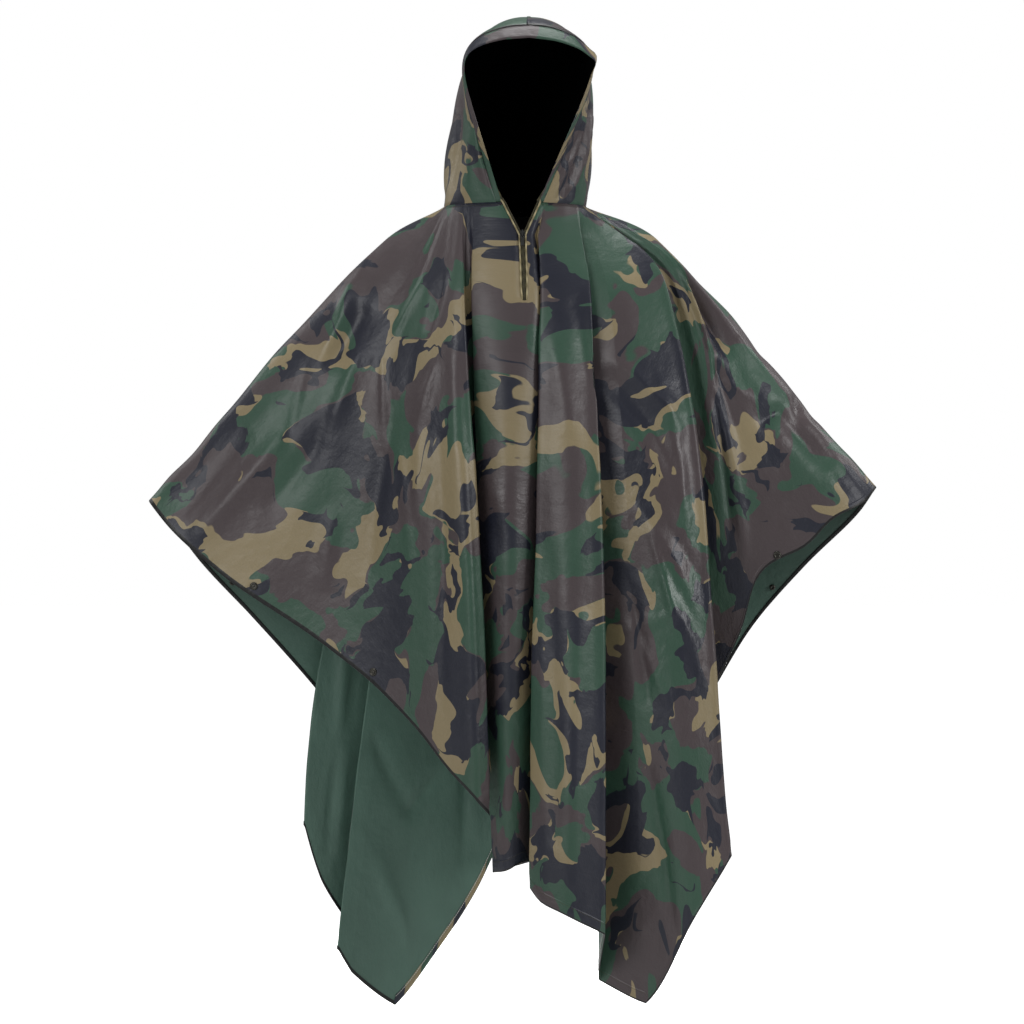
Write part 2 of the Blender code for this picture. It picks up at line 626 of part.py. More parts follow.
def build_tab(finish, home):
    """Flat tapered tab with a window for the bridge; its origin is on the hinge axis."""
    half, end_half = TAB_WIDTH / 2, TAB_END_WIDTH / 2
    bar = TAB_WALL / 2
    outline = bpy.data.curves.new("zip_pull_tab", "CURVE")
    outline.dimensions = "2D"
    outline.fill_mode = "BOTH"
    outline.extrude = TAB_WALL / 2
    rounding = [(math.cos(a), math.sin(a)) for a in (math.radians(d) for d in (200, 235, 270, 305, 340))]
    tip = -(TAB_LENGTH - end_half)
    edge = [(-half, bar), (-half, -TAB_WINDOW_LENGTH - bar)]
    edge += [(end_half * c, tip + end_half * s) for c, s in rounding]
    edge += [(half, -TAB_WINDOW_LENGTH - bar), (half, bar)]
    window_half = TAB_WINDOW_WIDTH / 2
    window = [
        (-window_half, -bar),
        (window_half, -bar),
        (window_half, -TAB_WINDOW_LENGTH - bar),
        (-window_half, -TAB_WINDOW_LENGTH - bar),
    ]
    for ring in (edge, window):
        spline = outline.splines.new("POLY")
        spline.points.add(len(ring) - 1)
        for point, (x, z) in zip(spline.points, ring):
            point.co = (x, z, 0, 1)
        spline.use_cyclic_u = True
    flat = bpy.data.objects.new("tab_outline", outline)
    home.objects.link(flat)
    bpy.context.view_layer.update()
    mesh = bpy.data.meshes.new_from_object(flat.evaluated_get(bpy.context.evaluated_depsgraph_get()))
    bpy.data.objects.remove(flat, do_unlink=True)
    solid = bmesh.new()
    solid.from_mesh(mesh)
    bmesh.ops.remove_doubles(solid, verts=solid.verts, dist=MERGE_GAP)
    bmesh.ops.rotate(solid, cent=(0, 0, 0), matrix=Matrix.Rotation(math.pi / 2, 3, "X"), verts=solid.verts)
    bmesh.ops.recalc_face_normals(solid, faces=solid.faces)
    solid.to_mesh(mesh)
    solid.free()
    tab = mesh_object("zip_pull_tab", mesh, finish, home)
    tab.matrix_world = hinge_place()
    return tab


# ---------------------------------------------------------------- press snaps


def snap_frame(rows, side, column):
    """Place beside the panel's edge on the facet below that column, with Z out of the cloth."""
    corners = cell(rows, len(rows) - 2, column)
    facet = [corners[n] for n in two_facets(corners)[0]]
    middle = (corners[1] + corners[2]) / 2
    inward = sum(facet, Vector()) / 3 - middle
    out = (facet[1] - facet[0]).cross(facet[2] - facet[0]).normalized() * -side
    turn = out.to_track_quat("Z", "Y").to_matrix().to_4x4()
    return Matrix.Translation(middle + inward.normalized() * SNAP_INSET) @ turn


def button_mesh(name, radius, height, rim):
    """Low turned button: a short wall, a chamfer and a flat top, on the plane z = 0."""
    profile = ((radius, 0), (radius, height * SNAP_SHOULDER), (radius - rim, height))
    solid = bmesh.new()
    rings = []
    for r, z in profile:
        ring = []
        for n in range(SNAP_SIDES):
            turn = 2 * math.pi * n / SNAP_SIDES
            ring.append(solid.verts.new((r * math.cos(turn), r * math.sin(turn), z)))
        rings.append(ring)
    for low, high in zip(rings, rings[1:]):
        for n in range(SNAP_SIDES):
            m = (n + 1) % SNAP_SIDES
            solid.faces.new((low[n], low[m], high[m], high[n]))
    solid.faces.new(rings[0][::-1])
    solid.faces.new(rings[-1])
    mesh = bpy.data.meshes.new(name)
    solid.to_mesh(mesh)
    solid.free()
    return mesh


def build_snaps(finish, home):
    """A cap on each panel's outer face and its stud or socket behind it."""
    front, seam = front_rows()
    panels = {"front": (FRONT_FOLDS, -1, front), "back": (BACK_FOLDS, 1, back_rows())}
    cap = button_mesh("snap_cap", SNAP_RADIUS, SNAP_CAP_HEIGHT, SNAP_RIM)
    stud = button_mesh("snap_stud", SNAP_STUD_RADIUS, SNAP_STUD_HEIGHT, SNAP_STUD_RIM)
    cap.materials.append(finish)
    stud.materials.append(finish)
    for snap in SNAPS:
        row = dict(zip(SNAP_COLUMNS, snap))
        folds, side, rows = panels[row["panel"]]
        position = [fold[0] for fold in folds].index(row["fold"])
        column = panel_positions(folds, side).index(position) + row["cells_on"]
        if row["panel"] == "front" and column > seam:
            column += 1  # the slit's second column
        place = snap_frame(rows, side, column)
        for part, mesh, lift, flip in (
            ("cap", cap, SNAP_GAP, 0),
            ("stud", stud, -WALL - SNAP_GAP, math.pi),
        ):
            button = bpy.data.objects.new("snap_%s_%s" % (part, row["name"]), mesh)
            home.objects.link(button)
            button.matrix_world = place @ Matrix.Translation((0, 0, lift)) @ Matrix.Rotation(flip, 4, "X")


def build():
    clear_scene()
    home = collection("rain_poncho")
    cutters = collection("guides")
    cloth = material("camouflage_cloth", 0.42, 0.0)
    hood = material("hood_cloth", 0.45, 0.0)
    tape = material("zip_tape", 0.8, 0.0)
    metal = material("zip_metal", 0.35, 0.9)
    snap = material("snap_metal", 0.4, 0.8)
    build_front(cloth, home)
    build_back(cloth, home)
    build_hood(hood, home)
    build_face_band(hood, home)
    build_tapes(tape, home)
    build_slider(metal, home, cutters)
    build_tab(metal, home)
    build_snaps(snap, home)


build()
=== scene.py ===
"""Hooded camouflage rain poncho, filled out as it is worn, with nobody in it."""

import math

import bmesh
import bpy
import numpy as np
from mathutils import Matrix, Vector, noise


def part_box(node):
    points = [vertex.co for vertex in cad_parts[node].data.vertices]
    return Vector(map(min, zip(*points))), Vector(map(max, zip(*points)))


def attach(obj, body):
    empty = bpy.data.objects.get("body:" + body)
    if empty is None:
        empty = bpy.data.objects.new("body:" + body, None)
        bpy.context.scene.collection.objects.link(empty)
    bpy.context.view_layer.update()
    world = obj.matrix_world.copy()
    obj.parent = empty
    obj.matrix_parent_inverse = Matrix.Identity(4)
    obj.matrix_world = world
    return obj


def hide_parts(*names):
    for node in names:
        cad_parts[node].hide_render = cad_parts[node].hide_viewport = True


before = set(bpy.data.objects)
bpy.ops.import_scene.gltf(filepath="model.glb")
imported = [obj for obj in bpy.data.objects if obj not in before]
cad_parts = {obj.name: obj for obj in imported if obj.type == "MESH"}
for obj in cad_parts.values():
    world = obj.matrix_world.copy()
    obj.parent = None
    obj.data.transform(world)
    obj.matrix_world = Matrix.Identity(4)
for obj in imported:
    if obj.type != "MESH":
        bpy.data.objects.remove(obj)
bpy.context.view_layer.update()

# ------------------------------------------------------------------ studio
# A level camera in front, with soft lights at the front left, the right, overhead, low behind and high behind
# each shoulder, over a plain white floor as far below the neck as a wearer's feet would be.

LENS = 117.19
SENSOR = 36
CAMERA_PLACE = (-0.0045, -5.0, -0.4575)
LIGHT_COLUMNS = ("name", "place", "aim", "size", "watts")
LIGHTS = (
    ("left_softbox", (-2.6, -3.4, 1.1), (0, 0, -0.5), 2.0, 63),
    ("right_softbox", (3.2, -1.9, 0.6), (0, 0, -0.5), 1.1, 40),
    ("top_softbox", (0.1, 0.1, 2.8), (0, 0, -0.4), 1.5, 64),
    ("back_softbox", (0.3, 3.0, -0.65), (0, 0, -0.6), 1.2, 48),
    ("left_ridge_softbox", (-2.6, 1.3, 1.3), (-0.3, 0, -0.3), 1.2, 12),
    ("right_ridge_softbox", (2.6, 1.3, 1.3), (0.3, 0, -0.3), 1.2, 16),
)
WHITE = (1, 1, 1, 1)
WORLD_LIGHT = 0.23
FLOOR_Z = -1.45
FLOOR_HALF = 30.0
FLOOR_GREY = (0.80, 0.80, 0.80, 1)
FLOOR_ROUGHNESS = 0.9
FLOOR_GLOW = 0.93


class Nodes:
    """A node tree, with a short call that adds a node and sets or links its sockets."""

    def __init__(self, tree):
        self.tree = tree

    def link(self, source, target):
        self.tree.links.new(source, target)

    def add(self, kind, values=(), **settings):
        made = self.tree.nodes.new(kind)
        for name, value in settings.items():
            setattr(made, name, value)
        for socket, value in dict(values).items():
            if isinstance(value, bpy.types.NodeSocket):
                self.link(value, made.inputs[socket])
            else:
                made.inputs[socket].default_value = value
        return made

    def backdrop(self, lighting, shown, output):
        """One shader lights the poncho, and the other is what shows behind it."""
        seen = self.add("ShaderNodeLightPath").outputs["Is Camera Ray"]
        mixed = self.add("ShaderNodeMixShader", {0: seen, 1: lighting.outputs[0], 2: shown.outputs[0]})
        self.link(mixed.outputs[0], self.tree.nodes[output].inputs["Surface"])


def placed(name, data):
    made = bpy.data.objects.new(name, data)
    bpy.context.scene.collection.objects.link(made)
    return made


camera = placed("camera", bpy.data.cameras.new("camera"))
camera.data.lens = LENS
camera.data.sensor_width = SENSOR
camera.location = CAMERA_PLACE
camera.rotation_euler = (math.radians(90), 0, 0)
bpy.context.scene.camera = camera
bpy.context.scene.view_settings.view_transform = "Standard"

for light in LIGHTS:
    row = dict(zip(LIGHT_COLUMNS, light))
    lamp = placed(row["name"], bpy.data.lights.new(row["name"], "AREA"))
    lamp.data.size = row["size"]
    lamp.data.energy = row["watts"]
    lamp.location = row["place"]
    lamp.rotation_euler = (Vector(row["aim"]) - Vector(row["place"])).to_track_quat("-Z", "Y").to_euler()

world = bpy.data.worlds.new("studio")
bpy.context.scene.world = world
world.use_nodes = True
room = Nodes(world.node_tree)
surround = room.tree.nodes["Background"]
surround.inputs["Color"].default_value = WHITE
surround.inputs["Strength"].default_value = WORLD_LIGHT
paper = room.add("ShaderNodeBackground", {"Color": WHITE, "Strength": 1.0})
room.backdrop(surround, paper, "World Output")

floor_mesh = bpy.data.meshes.new("floor")
floor_corners = [(x * FLOOR_HALF, y * FLOOR_HALF, FLOOR_Z) for x, y in ((-1, -1), (1, -1), (1, 1), (-1, 1))]
floor_mesh.from_pydata(floor_corners, [], [(0, 1, 2, 3)])
floor = placed("floor", floor_mesh)
floor_paint = bpy.data.materials.new("floor_paint")
floor_paint.use_nodes = True
coat = Nodes(floor_paint.node_tree)
paint = coat.tree.nodes["Principled BSDF"]
paint.inputs["Base Color"].default_value = FLOOR_GREY
paint.inputs["Roughness"].default_value = FLOOR_ROUGHNESS
paint.inputs["Specular IOR Level"].default_value = 0.0
glow = coat.add("ShaderNodeEmission", {"Strength": FLOOR_GLOW})
lit = coat.add("ShaderNodeAddShader", {0: paint.outputs[0], 1: glow.outputs[0]})
coat.backdrop(paint, lit, "Material Output")
floor_mesh.materials.append(floor_paint)

# ------------------------------------------------------------------ printed cloth
# Woven polyester, printed on its face with a woodland pattern of green, brown, tan and near-black patches,
# and proofed on its back with a plain dark green coating that makes both sides a little glossy.

CLOTH_MAP = "cloth"  # the cloth's own flat metres
PRINT_GREEN = (0.036, 0.083, 0.055, 1)
PRINT_BROWN = (0.067, 0.052, 0.055, 1)
PRINT_TAN = (0.254, 0.204, 0.115, 1)
PRINT_BLACK = (0.016, 0.018, 0.030, 1)
PRINT_GLOSS = 0.46
PRINT_BLUR = 0.003
PUSHES = ((6.6, 0.125), (26.0, 0.062), (56.0, 0.015))  # scale and reach of the print's swirls, fingers, lobes
PATCHES = (  # name, offset, stretch, scale
    ("brown", (3.1, 1.9, 0), (1, 1.25, 1), 8.3),
    ("tan", (0.4, 5.3, 0), (1, 1.15, 1), 9.4),
    ("stroke", (7.7, 3.4, 0), (1, 1.2, 1), 18.0),
    ("clump", (1.9, 8.6, 0), (1, 1, 1), 11.5),
)
BROWN_EDGE = 0.49
TAN_EDGE = 0.592
BLACK_EDGE = 0.529
STROKE_DEPTH = 0.9
TAN_PULL = 0.6

COATING_GREEN = (0.082, 0.150, 0.118, 1)
COATING_PALE = 1.25
COATING_DEEP = 0.78
NECK_SHADE = (0.001, 0.0015, 0.0015, 1)  # painted shade: the coating is painted nearly black up inside the neck and shoulders, where shade falls
NECK_SHADE_ENDS = (0.26, 0.66)  # how far below the neck the painted shade starts to give way to green, and where it is gone

# dark edge colour: painted shade along the turned lower hems, a dark binding down the side edges, and the
# hood's dark seam line
EDGE_BLACK = (0.003, 0.0035, 0.0035, 1)
EDGE_WIDTH = 0.0018
EDGE_STARTS = 0.88
HEM_DEPTH = 0.016
HEM_STEP = 0.0007
THREADS_PER_METRE = 1500
WAVES_PER_UNIT = 20  # a wave texture has twenty bands to a unit of its scale
TONE_CHANGE = 0.10
GLOSS_CHANGE = 0.05
CRUSHED_GLOSS = 0.14
CRUSH_TURN = 0.55  # the way that the crushed cloth's creases run, in radians from the fall
CRUSH_STRETCH = 2.2
CRUSH_BEND = (14.0, 0.035)
TONE_NOISE = (3.0, 3.0)  # each noise's scale, detail and roughness
SMEAR_NOISE = (14.0, 4.0, 0.6)
CRUSH_NOISE = (24.0, 3.0, 0.55)
DIMPLE_NOISE = (34.0, 4.0, 0.55)
BLOTCH_NOISE = (9.0, 4.0, 0.6)
WEAVE_BUMP = (0.00004, 0.35)  # each bump's height in metres, and its strength
DIMPLE_BUMP = (0.0026, 0.7)
CRUSH_HEIGHT = 0.0030
HEM_BUMP = (0.0004, 1.0)
NOISE_MIDDLE = (0.3, 0.7)  # the values between which most of a noise lies


class Shading(Nodes):
    """One material's node tree, with short calls for the nodes that the cloth needs."""

    def __init__(self, name):
        self.material = bpy.data.materials.new(name)
        self.material.use_nodes = True
        super().__init__(self.material.node_tree)
        self.shader = self.tree.nodes["Principled BSDF"]

    def finish(self, **values):
        for socket, value in values.items():
            self.shader.inputs[socket.replace("_", " ")].default_value = value
        return self.material

    def on_cloth(self):
        return self.add("ShaderNodeUVMap", uv_map=CLOTH_MAP).outputs[0]

    def marked(self, name):
        return self.add("ShaderNodeAttribute", attribute_name=name).outputs["Fac"]

    def math(self, operation, a, b=0.0):
        return self.add("ShaderNodeMath", {0: a, 1: b}, operation=operation).outputs[0]

    def noise(self, place, scale, detail=0.0, roughness=0.5, kind="FBM", output="Fac"):
        values = {"Vector": place, "Scale": scale, "Detail": detail, "Roughness": roughness}
        return self.add("ShaderNodeTexNoise", values, noise_type=kind).outputs[output]

    def patches(self, place, offset, stretch, scale):
        values = {"Vector": place, "Location": offset, "Scale": stretch}
        return self.noise(self.add("ShaderNodeMapping", values).outputs[0], scale)

    def vector(self, operation, values):
        return self.add("ShaderNodeVectorMath", values, operation=operation).outputs[0]

    def pushed(self, place, scale, reach):
        """The place pushed about by noise, which swirls a pattern or fingers its edges."""
        push = self.noise(place, scale, output="Color")
        middle = self.vector("SUBTRACT", {0: push, 1: (0.5, 0.5, 0.5)})
        return self.vector("ADD", {0: place, 1: self.vector("SCALE", {0: middle, "Scale": reach})})

    def ramp(self, value, low, high, to_low=0.0, to_high=1.0):
        values = {"Value": value, "From Min": low, "From Max": high, "To Min": to_low, "To Max": to_high}
        return self.add("ShaderNodeMapRange", values).outputs[0]

    def varied(self, value, middle, change):
        return self.ramp(value, *NOISE_MIDDLE, middle - change, middle + change)

    def over(self, share, below, above):
        return self.add("ShaderNodeMix", {0: share, 6: below, 7: above}, data_type="RGBA").outputs[2]

    def printed(self, value, edge, below, above):
        return self.over(self.ramp(value, edge - PRINT_BLUR, edge + PRINT_BLUR), below, above)

    def waves(self, place, per_metre, way):
        values = {"Vector": place, "Scale": per_metre / WAVES_PER_UNIT}
        return self.add("ShaderNodeTexWave", values, bands_direction=way).outputs["Fac"]

    def bump(self, height, distance, strength, **below):
        values = {"Height": height, "Distance": distance, "Strength": strength, **below}
        return self.add("ShaderNodeBump", values).outputs[0]


def woodland_colour(shading, place):
    """Green ground, brown over it, then tan patches, and near-black strokes that crowd round the tan."""
    for scale, reach in PUSHES:
        place = shading.pushed(place, scale, reach)
    brown, tan, stroke, clump = (shading.patches(place, *patch[1:]) for patch in PATCHES)
    off_stroke = shading.math("ABSOLUTE", shading.math("SUBTRACT", stroke, 0.5))
    near_tan = shading.math("MULTIPLY", shading.math("SUBTRACT", tan, 0.5), TAN_PULL)
    thin = shading.math("MULTIPLY", off_stroke, STROKE_DEPTH)
    black = shading.math("SUBTRACT", shading.math("ADD", clump, near_tan), thin)
    colour = shading.printed(brown, BROWN_EDGE, PRINT_GREEN, PRINT_BROWN)
    colour = shading.printed(tan, TAN_EDGE, colour, PRINT_TAN)
    return shading.printed(black, BLACK_EDGE, colour, PRINT_BLACK)


def cloth_surface(shading, place, colour, gloss):
    """Weave, crinkles, hem step, an uneven coating and a dark edge, partly painted shade, over a colour."""
    crushed = shading.marked("crinkle")
    at_edge = shading.ramp(shading.marked("rim"), EDGE_STARTS, 1.0)
    tone = shading.varied(shading.noise(place, *TONE_NOISE), 1.0, TONE_CHANGE)
    toned = shading.vector("SCALE", {0: colour, "Scale": tone})
    shading.link(shading.over(at_edge, EDGE_BLACK, toned), shading.shader.inputs["Base Color"])
    rough = shading.varied(shading.noise(place, *SMEAR_NOISE), gloss, GLOSS_CHANGE)
    rough = shading.math("SUBTRACT", rough, shading.math("MULTIPLY", crushed, CRUSHED_GLOSS))
    shading.link(rough, shading.shader.inputs["Roughness"])
    across, along = (shading.waves(place, THREADS_PER_METRE, way) for way in "XY")
    values = {"Vector": shading.pushed(place, *CRUSH_BEND), "Rotation": (0, 0, CRUSH_TURN)}
    values["Scale"] = (1, CRUSH_STRETCH, 1)
    drawn = shading.add("ShaderNodeMapping", values, vector_type="TEXTURE").outputs[0]
    sharp = shading.noise(drawn, *CRUSH_NOISE, "RIDGED_MULTIFRACTAL")
    hem = shading.ramp(shading.marked("edge"), HEM_DEPTH - HEM_STEP, HEM_DEPTH + HEM_STEP, 1, 0)
    normal = shading.bump(shading.math("ADD", across, along), *WEAVE_BUMP)
    normal = shading.bump(shading.noise(place, *DIMPLE_NOISE), *DIMPLE_BUMP, Normal=normal)
    normal = shading.bump(sharp, CRUSH_HEIGHT, crushed, Normal=normal)
    normal = shading.bump(hem, *HEM_BUMP, Normal=normal)
    shading.link(normal, shading.shader.inputs["Normal"])


def print_material(name):
    shading = Shading(name)
    place = shading.on_cloth()
    cloth_surface(shading, place, woodland_colour(shading, place), PRINT_GLOSS)
    return shading.finish(Specular_IOR_Level=0.46)


def tinted(colour, share):
    return tuple(min(1.0, c * share) for c in colour[:3]) + (1,)


def coating_material(name, colour, gloss, level):
    shading = Shading(name)
    place = shading.on_cloth()
    blotch = shading.noise(place, *BLOTCH_NOISE)
    coated = shading.over(blotch, tinted(colour, COATING_DEEP), tinted(colour, COATING_PALE))
    # painted shade: the coating turns near black towards the neck, set by the distance below it
    out_of_painted_shade = shading.ramp(shading.marked("drop"), *NECK_SHADE_ENDS)
    cloth_surface(shading, place, shading.over(out_of_painted_shade, NECK_SHADE, coated), gloss)
    return shading.finish(Specular_IOR_Level=level)


printed_face = print_material("woodland_print")
coated_back = coating_material("green_coating", COATING_GREEN, gloss=0.5, level=0.35)

# ------------------------------------------------------------------ body cloth
# One long rectangle of cloth with a neck hole, worn over the shoulders. Each half falls from the neck in a
# fan of folds; a table row says where a fold leaves the neck, where it crosses the chest and where it ends.

MM = 0.001
TINY = 1e-12
MERGE = 0.01 * MM
SEAM_GAP = 0.3 * MM
RIDGE_GAP = 0.03 * MM
NECK_HALF_WIDTH = 107 * MM
NECK_HALF_DEPTH = 88 * MM
CHEST = 0.18  # where a fold crosses the chest, as a share of its length
SHOULDER_TURN = 0.7
CLOTH_WALL = 0.7 * MM
COLUMN_PITCH = 11 * MM
LEAST_COLUMNS = 3  # between two folds
REACH_SAMPLES = 9
LEVEL_COUNT = 140
SLIT_LEVEL = 0.15
SLIT_CLOSED = 0.19
LEVELS = np.unique(np.concatenate((np.linspace(0, 1, LEVEL_COUNT), (SLIT_LEVEL, SLIT_CLOSED))))
PRESSED = 0.6  # folds softer than this get extra columns beside their edge
PRESSED_STEPS = (0.03, 0.09)

FOLD_COLUMNS = ("name", "ring_deg", "chest", "end", "bow", "softness")
FRONT_FOLDS = (
    ("left_ridge", 0, (-196, 0, -51), (-549, 0, -440), (0, 0), 1.0),
    ("left_roll", 8, (-184, -38, -80), (-515, -36, -480), (0, 0), 1.0),
    ("left_sleeve", 14, (-168, -58, -115), (-445, -58, -542), (0, 0), 1.0),
    ("left_wing", 20, (-149, -78, -140), (-280, -85, -654), (0, 0), 1.0),
    ("left_snap", 26, (-131, -94, -151), (-201, -112, -716), (0, -6), 1.0),
    ("left_flank", 31, (-113, -108, -158), (-147, -138, -770), (0, -10), 1.0),
    ("left_bulge", 36, (-97, -120, -163), (-87, -168, -843), (0, -12), 1.0),
    ("fold_a_crest", 40, (-85, -127, -167), (-54, -186, -876), (4, -12), 1.0),
    ("fold_a_edge", 43, (-76, -127, -168), (-36, -172, -896), (4, -8), 0.2),
    ("fold_a_under", 46, (-77, -114, -166), (-92, -128, -828), (0, 0), 0.3),
    ("tucked_corner", 50, (-60, -100, -167), (74, -26, -958), (0, 0), 0.5),
    ("centre_edge", 55, (-63, -117, -169), (-33, -126, -984), (0, 0), 0.3),
    ("centre_crest", 72, (-26, -130, -174), (-7, -164, -975), (0, -8), 1.0),
    ("zip_line", 95, (14, -131, -177), (8, -158, -967), (0, -6), 1.0),
    ("zip_flank", 98, (29, -127, -177), (24, -138, -967), (0, 0), 0.8),
    ("fold_b_valley", 101, (48, -97, -177), (66, -76, -975), (0, 0), 0.3),
    ("fold_b_edge", 105, (38, -126, -178), (21, -182, -1001), (-3, -6), 0.3),
    ("fold_b_roll", 113, (52, -130, -178), (36, -206, -1018), (-2, -8), 0.9),
    ("right_crest", 128, (77, -130, -177), (70, -222, -1034), (0, -12), 1.0),
    ("fold_c_edge", 148, (111, -120, -172), (129, -205, -1065), (4, -8), 0.1),
    ("fold_c_valley", 151, (110, -103, -171), (124, -118, -1143), (0, 0), 0.2),
    ("front_corner", 156, (142, -108, -167), (190, -150, -1172), (0, -6), 0.4),
    ("front_side", 162, (184, -96, -151), (259, -180, -1045), (0, -10), 1.0),
    ("fold_d_edge", 167, (220, -74, -119), (314, -165, -956), (-3, -6), 0.1),
    ("fold_d_valley", 169, (211, -54, -113), (201, -48, -885), (0, 0), 0.3),
    ("right_under", 171, (230, -52, -115), (284, -45, -740), (0, 0), 1.0),
    ("right_wing", 173, (233, -53, -101), (334, -58, -635), (0, 0), 1.0),
    ("right_snap", 175, (232, -50, -89), (359, -60, -564), (0, 0), 1.0),
    ("right_sleeve", 176.5, (226, -44, -77), (441, -52, -506), (-4, 0), 1.0),
    ("right_roll", 178, (219, -32, -64), (515, -35, -450), (-6, 0), 1.0),
    ("right_ridge", 180, (210, 0, -47), (542, 0, -420), (-6, 0), 1.0),
)
BACK_FOLDS = (
    ("left_ridge", 0, (-196, 0, -51), (-549, 0, -440), (0, 0), 1.0),
    ("left_roll", 8, (-184, 38, -80), (-515, 36, -480), (0, 0), 1.0),
    ("left_sleeve", 14, (-171, 60, -108), (-479, 66, -531), (0, 0), 1.0),
    ("left_wing", 20, (-155, 84, -131), (-403, 98, -616), (0, 0), 1.0),
    ("left_under", 25, (-145, 102, -139), (-284, 142, -758), (0, 8), 1.0),
    ("fold_i_edge", 29, (-131, 110, -142), (-230, 162, -834), (0, 8), 0.3),
    ("fold_h_edge", 32, (-132, 98, -146), (-322, 98, -936), (-42, 0), 0.2),
    ("left_layer", 35, (-125, 103, -147), (-297, 106, -1020), (-32, 0), 0.8),
    ("fold_j_edge", 39, (-112, 114, -148), (-225, 134, -1140), (-8, 4), 0.3),
    ("fold_f_edge", 42, (-112, 104, -150), (-270, 84, -1124), (-18, 0), 0.15),
    ("left_round", 46, (-104, 110, -151), (-250, 94, -1160), (-14, 0), 0.4),
    ("left_corner", 53, (-84, 122, -153), (-185, 134, -1216), (0, 8), 0.3),
    ("left_hem", 62, (-57, 132, -156), (-116, 160, -1129), (0, 10), 1.0),
    ("left_hem_rise", 72, (-32, 138, -159), (-60, 176, -1044), (0, 10), 1.0),
    ("fold_k_edge", 82, (-8, 138, -160), (-22, 174, -968), (0, 8), 0.5),
    ("fold_k_valley", 89, (8, 112, -163), (12, 88, -964), (0, 0), 0.4),
    ("fold_l_crest", 101, (38, 138, -162), (62, 204, -990), (0, 10), 0.9),
    ("fold_l_valley", 112, (66, 116, -163), (92, 118, -1016), (0, 0), 0.6),
    ("fold_m_crest", 126, (100, 130, -160), (146, 198, -1064), (0, 10), 0.8),
    ("fold_m_valley", 137, (130, 104, -154), (178, 96, -1110), (0, 0), 0.4),
    ("right_corner", 147, (158, 108, -147), (217, 160, -1159), (0, 8), 0.4),
    ("right_side", 156, (185, 100, -138), (250, 172, -1083), (0, 8), 1.0),
    ("fold_p_edge", 162, (212, 84, -122), (295, 152, -980), (4, 6), 0.2),
    ("fold_p_valley", 166, (206, 60, -116), (213, 66, -880), (0, 0), 0.3),
    ("right_under", 170, (231, 62, -107), (302, 84, -729), (0, 0), 1.0),
    ("right_wing", 173, (237, 60, -93), (362, 84, -631), (0, 0), 1.0),
    ("right_sleeve", 175.5, (229, 48, -73), (441, 66, -538), (-4, 0), 1.0),
    ("right_roll", 178, (219, 32, -64), (524, 35, -452), (-6, 0), 1.0),
    ("right_ridge", 180, (210, 0, -47), (542, 0, -420), (-6, 0), 1.0),
)


def neck_point(degrees, side):
    turn = math.radians(degrees)
    return np.array((-NECK_HALF_WIDTH * math.cos(turn), side * NECK_HALF_DEPTH * math.sin(turn), 0))


def unit_rows(vectors):
    return vectors / np.maximum(np.linalg.norm(vectors, axis=-1, keepdims=True), TINY)


def way_along(points):
    """Each point's distance along a line of points."""
    return np.concatenate(((0,), np.cumsum(np.linalg.norm(np.diff(points, axis=0), axis=1))))


def ways_down(grid):
    """Each point's distance down its own column of a grid."""
    steps = np.cumsum(np.linalg.norm(np.diff(grid, axis=0), axis=2), axis=0)
    return np.concatenate((np.zeros((1, grid.shape[1])), steps))


def bell(off):
    return np.exp(-(off**2))


def hermite(start, end, leave, arrive, share):
    a = share * share
    b = a * share
    along = start * (2 * b - 3 * a + 1) + end * (3 * a - 2 * b)
    return along + leave * (b - 2 * a + share) + arrive * (b - a)


def fold_lines(folds, side, levels):
    """Each fold's points at every level from neck to lower edge, with the ends mirrored over the shoulder."""
    lines = np.empty((len(levels), len(folds) + 2, 3))
    upper = np.clip(levels / CHEST, 0, 1)[:, None]
    lower = np.clip((levels - CHEST) / (1 - CHEST), 0, 1)[:, None]
    for number, fold in enumerate(folds, start=1):
        row = dict(zip(FOLD_COLUMNS, fold))
        top = neck_point(row["ring_deg"], side) - (0, 0, 2 * SEAM_GAP)
        chest = np.array(row["chest"]) * MM
        end = np.array(row["end"]) * MM
        fall = (end - chest) / (1 - CHEST)
        turn = (chest - top) / CHEST * (1 - SHOULDER_TURN) + fall * SHOULDER_TURN
        swing = np.array((*row["bow"], 0)) * MM * 4 * lower * (1 - lower)
        above = hermite(top, chest, chest - top, turn * CHEST, upper)
        below = hermite(chest, end, turn * (1 - CHEST), end - chest, lower) + swing
        lines[:, number] = np.where(levels[:, None] <= CHEST, above, below)
    lines[:, 0] = lines[:, 2] * (1, -1, 1)
    lines[:, -1] = lines[:, -3] * (1, -1, 1)
    return lines


def across_folds(lines, softness, positions):
    """The cloth between the folds at each level: position 3.25 is a quarter of the way from fold 3 to 4."""
    chords = np.diff(lines, axis=1)
    spans = np.maximum(np.linalg.norm(chords, axis=2, keepdims=True), TINY)
    leave = np.concatenate((chords / spans, (chords / spans)[:, -1:]), axis=1)
    arrive = np.concatenate(((chords / spans)[:, :1], chords / spans), axis=1)
    before, after = spans[:, :-1], spans[:, 1:]
    eased = (chords[:, :-1] * (after / before) + chords[:, 1:] * (before / after)) / (before + after)
    soft = np.array(softness)[None, 1:-1, None]
    leave[:, 1:-1] = leave[:, 1:-1] * (1 - soft) + eased * soft
    arrive[:, 1:-1] = arrive[:, 1:-1] * (1 - soft) + eased * soft
    key = np.minimum(positions.astype(int), lines.shape[1] - 2)
    share = (positions - key)[None, :, None]
    span = spans[:, key]
    return hermite(lines[:, key], lines[:, key + 1], leave[:, key] * span, arrive[:, key + 1] * span, share)


def soft_values(folds):
    return [1.0] + [dict(zip(FOLD_COLUMNS, fold))["softness"] for fold in folds] + [1.0]


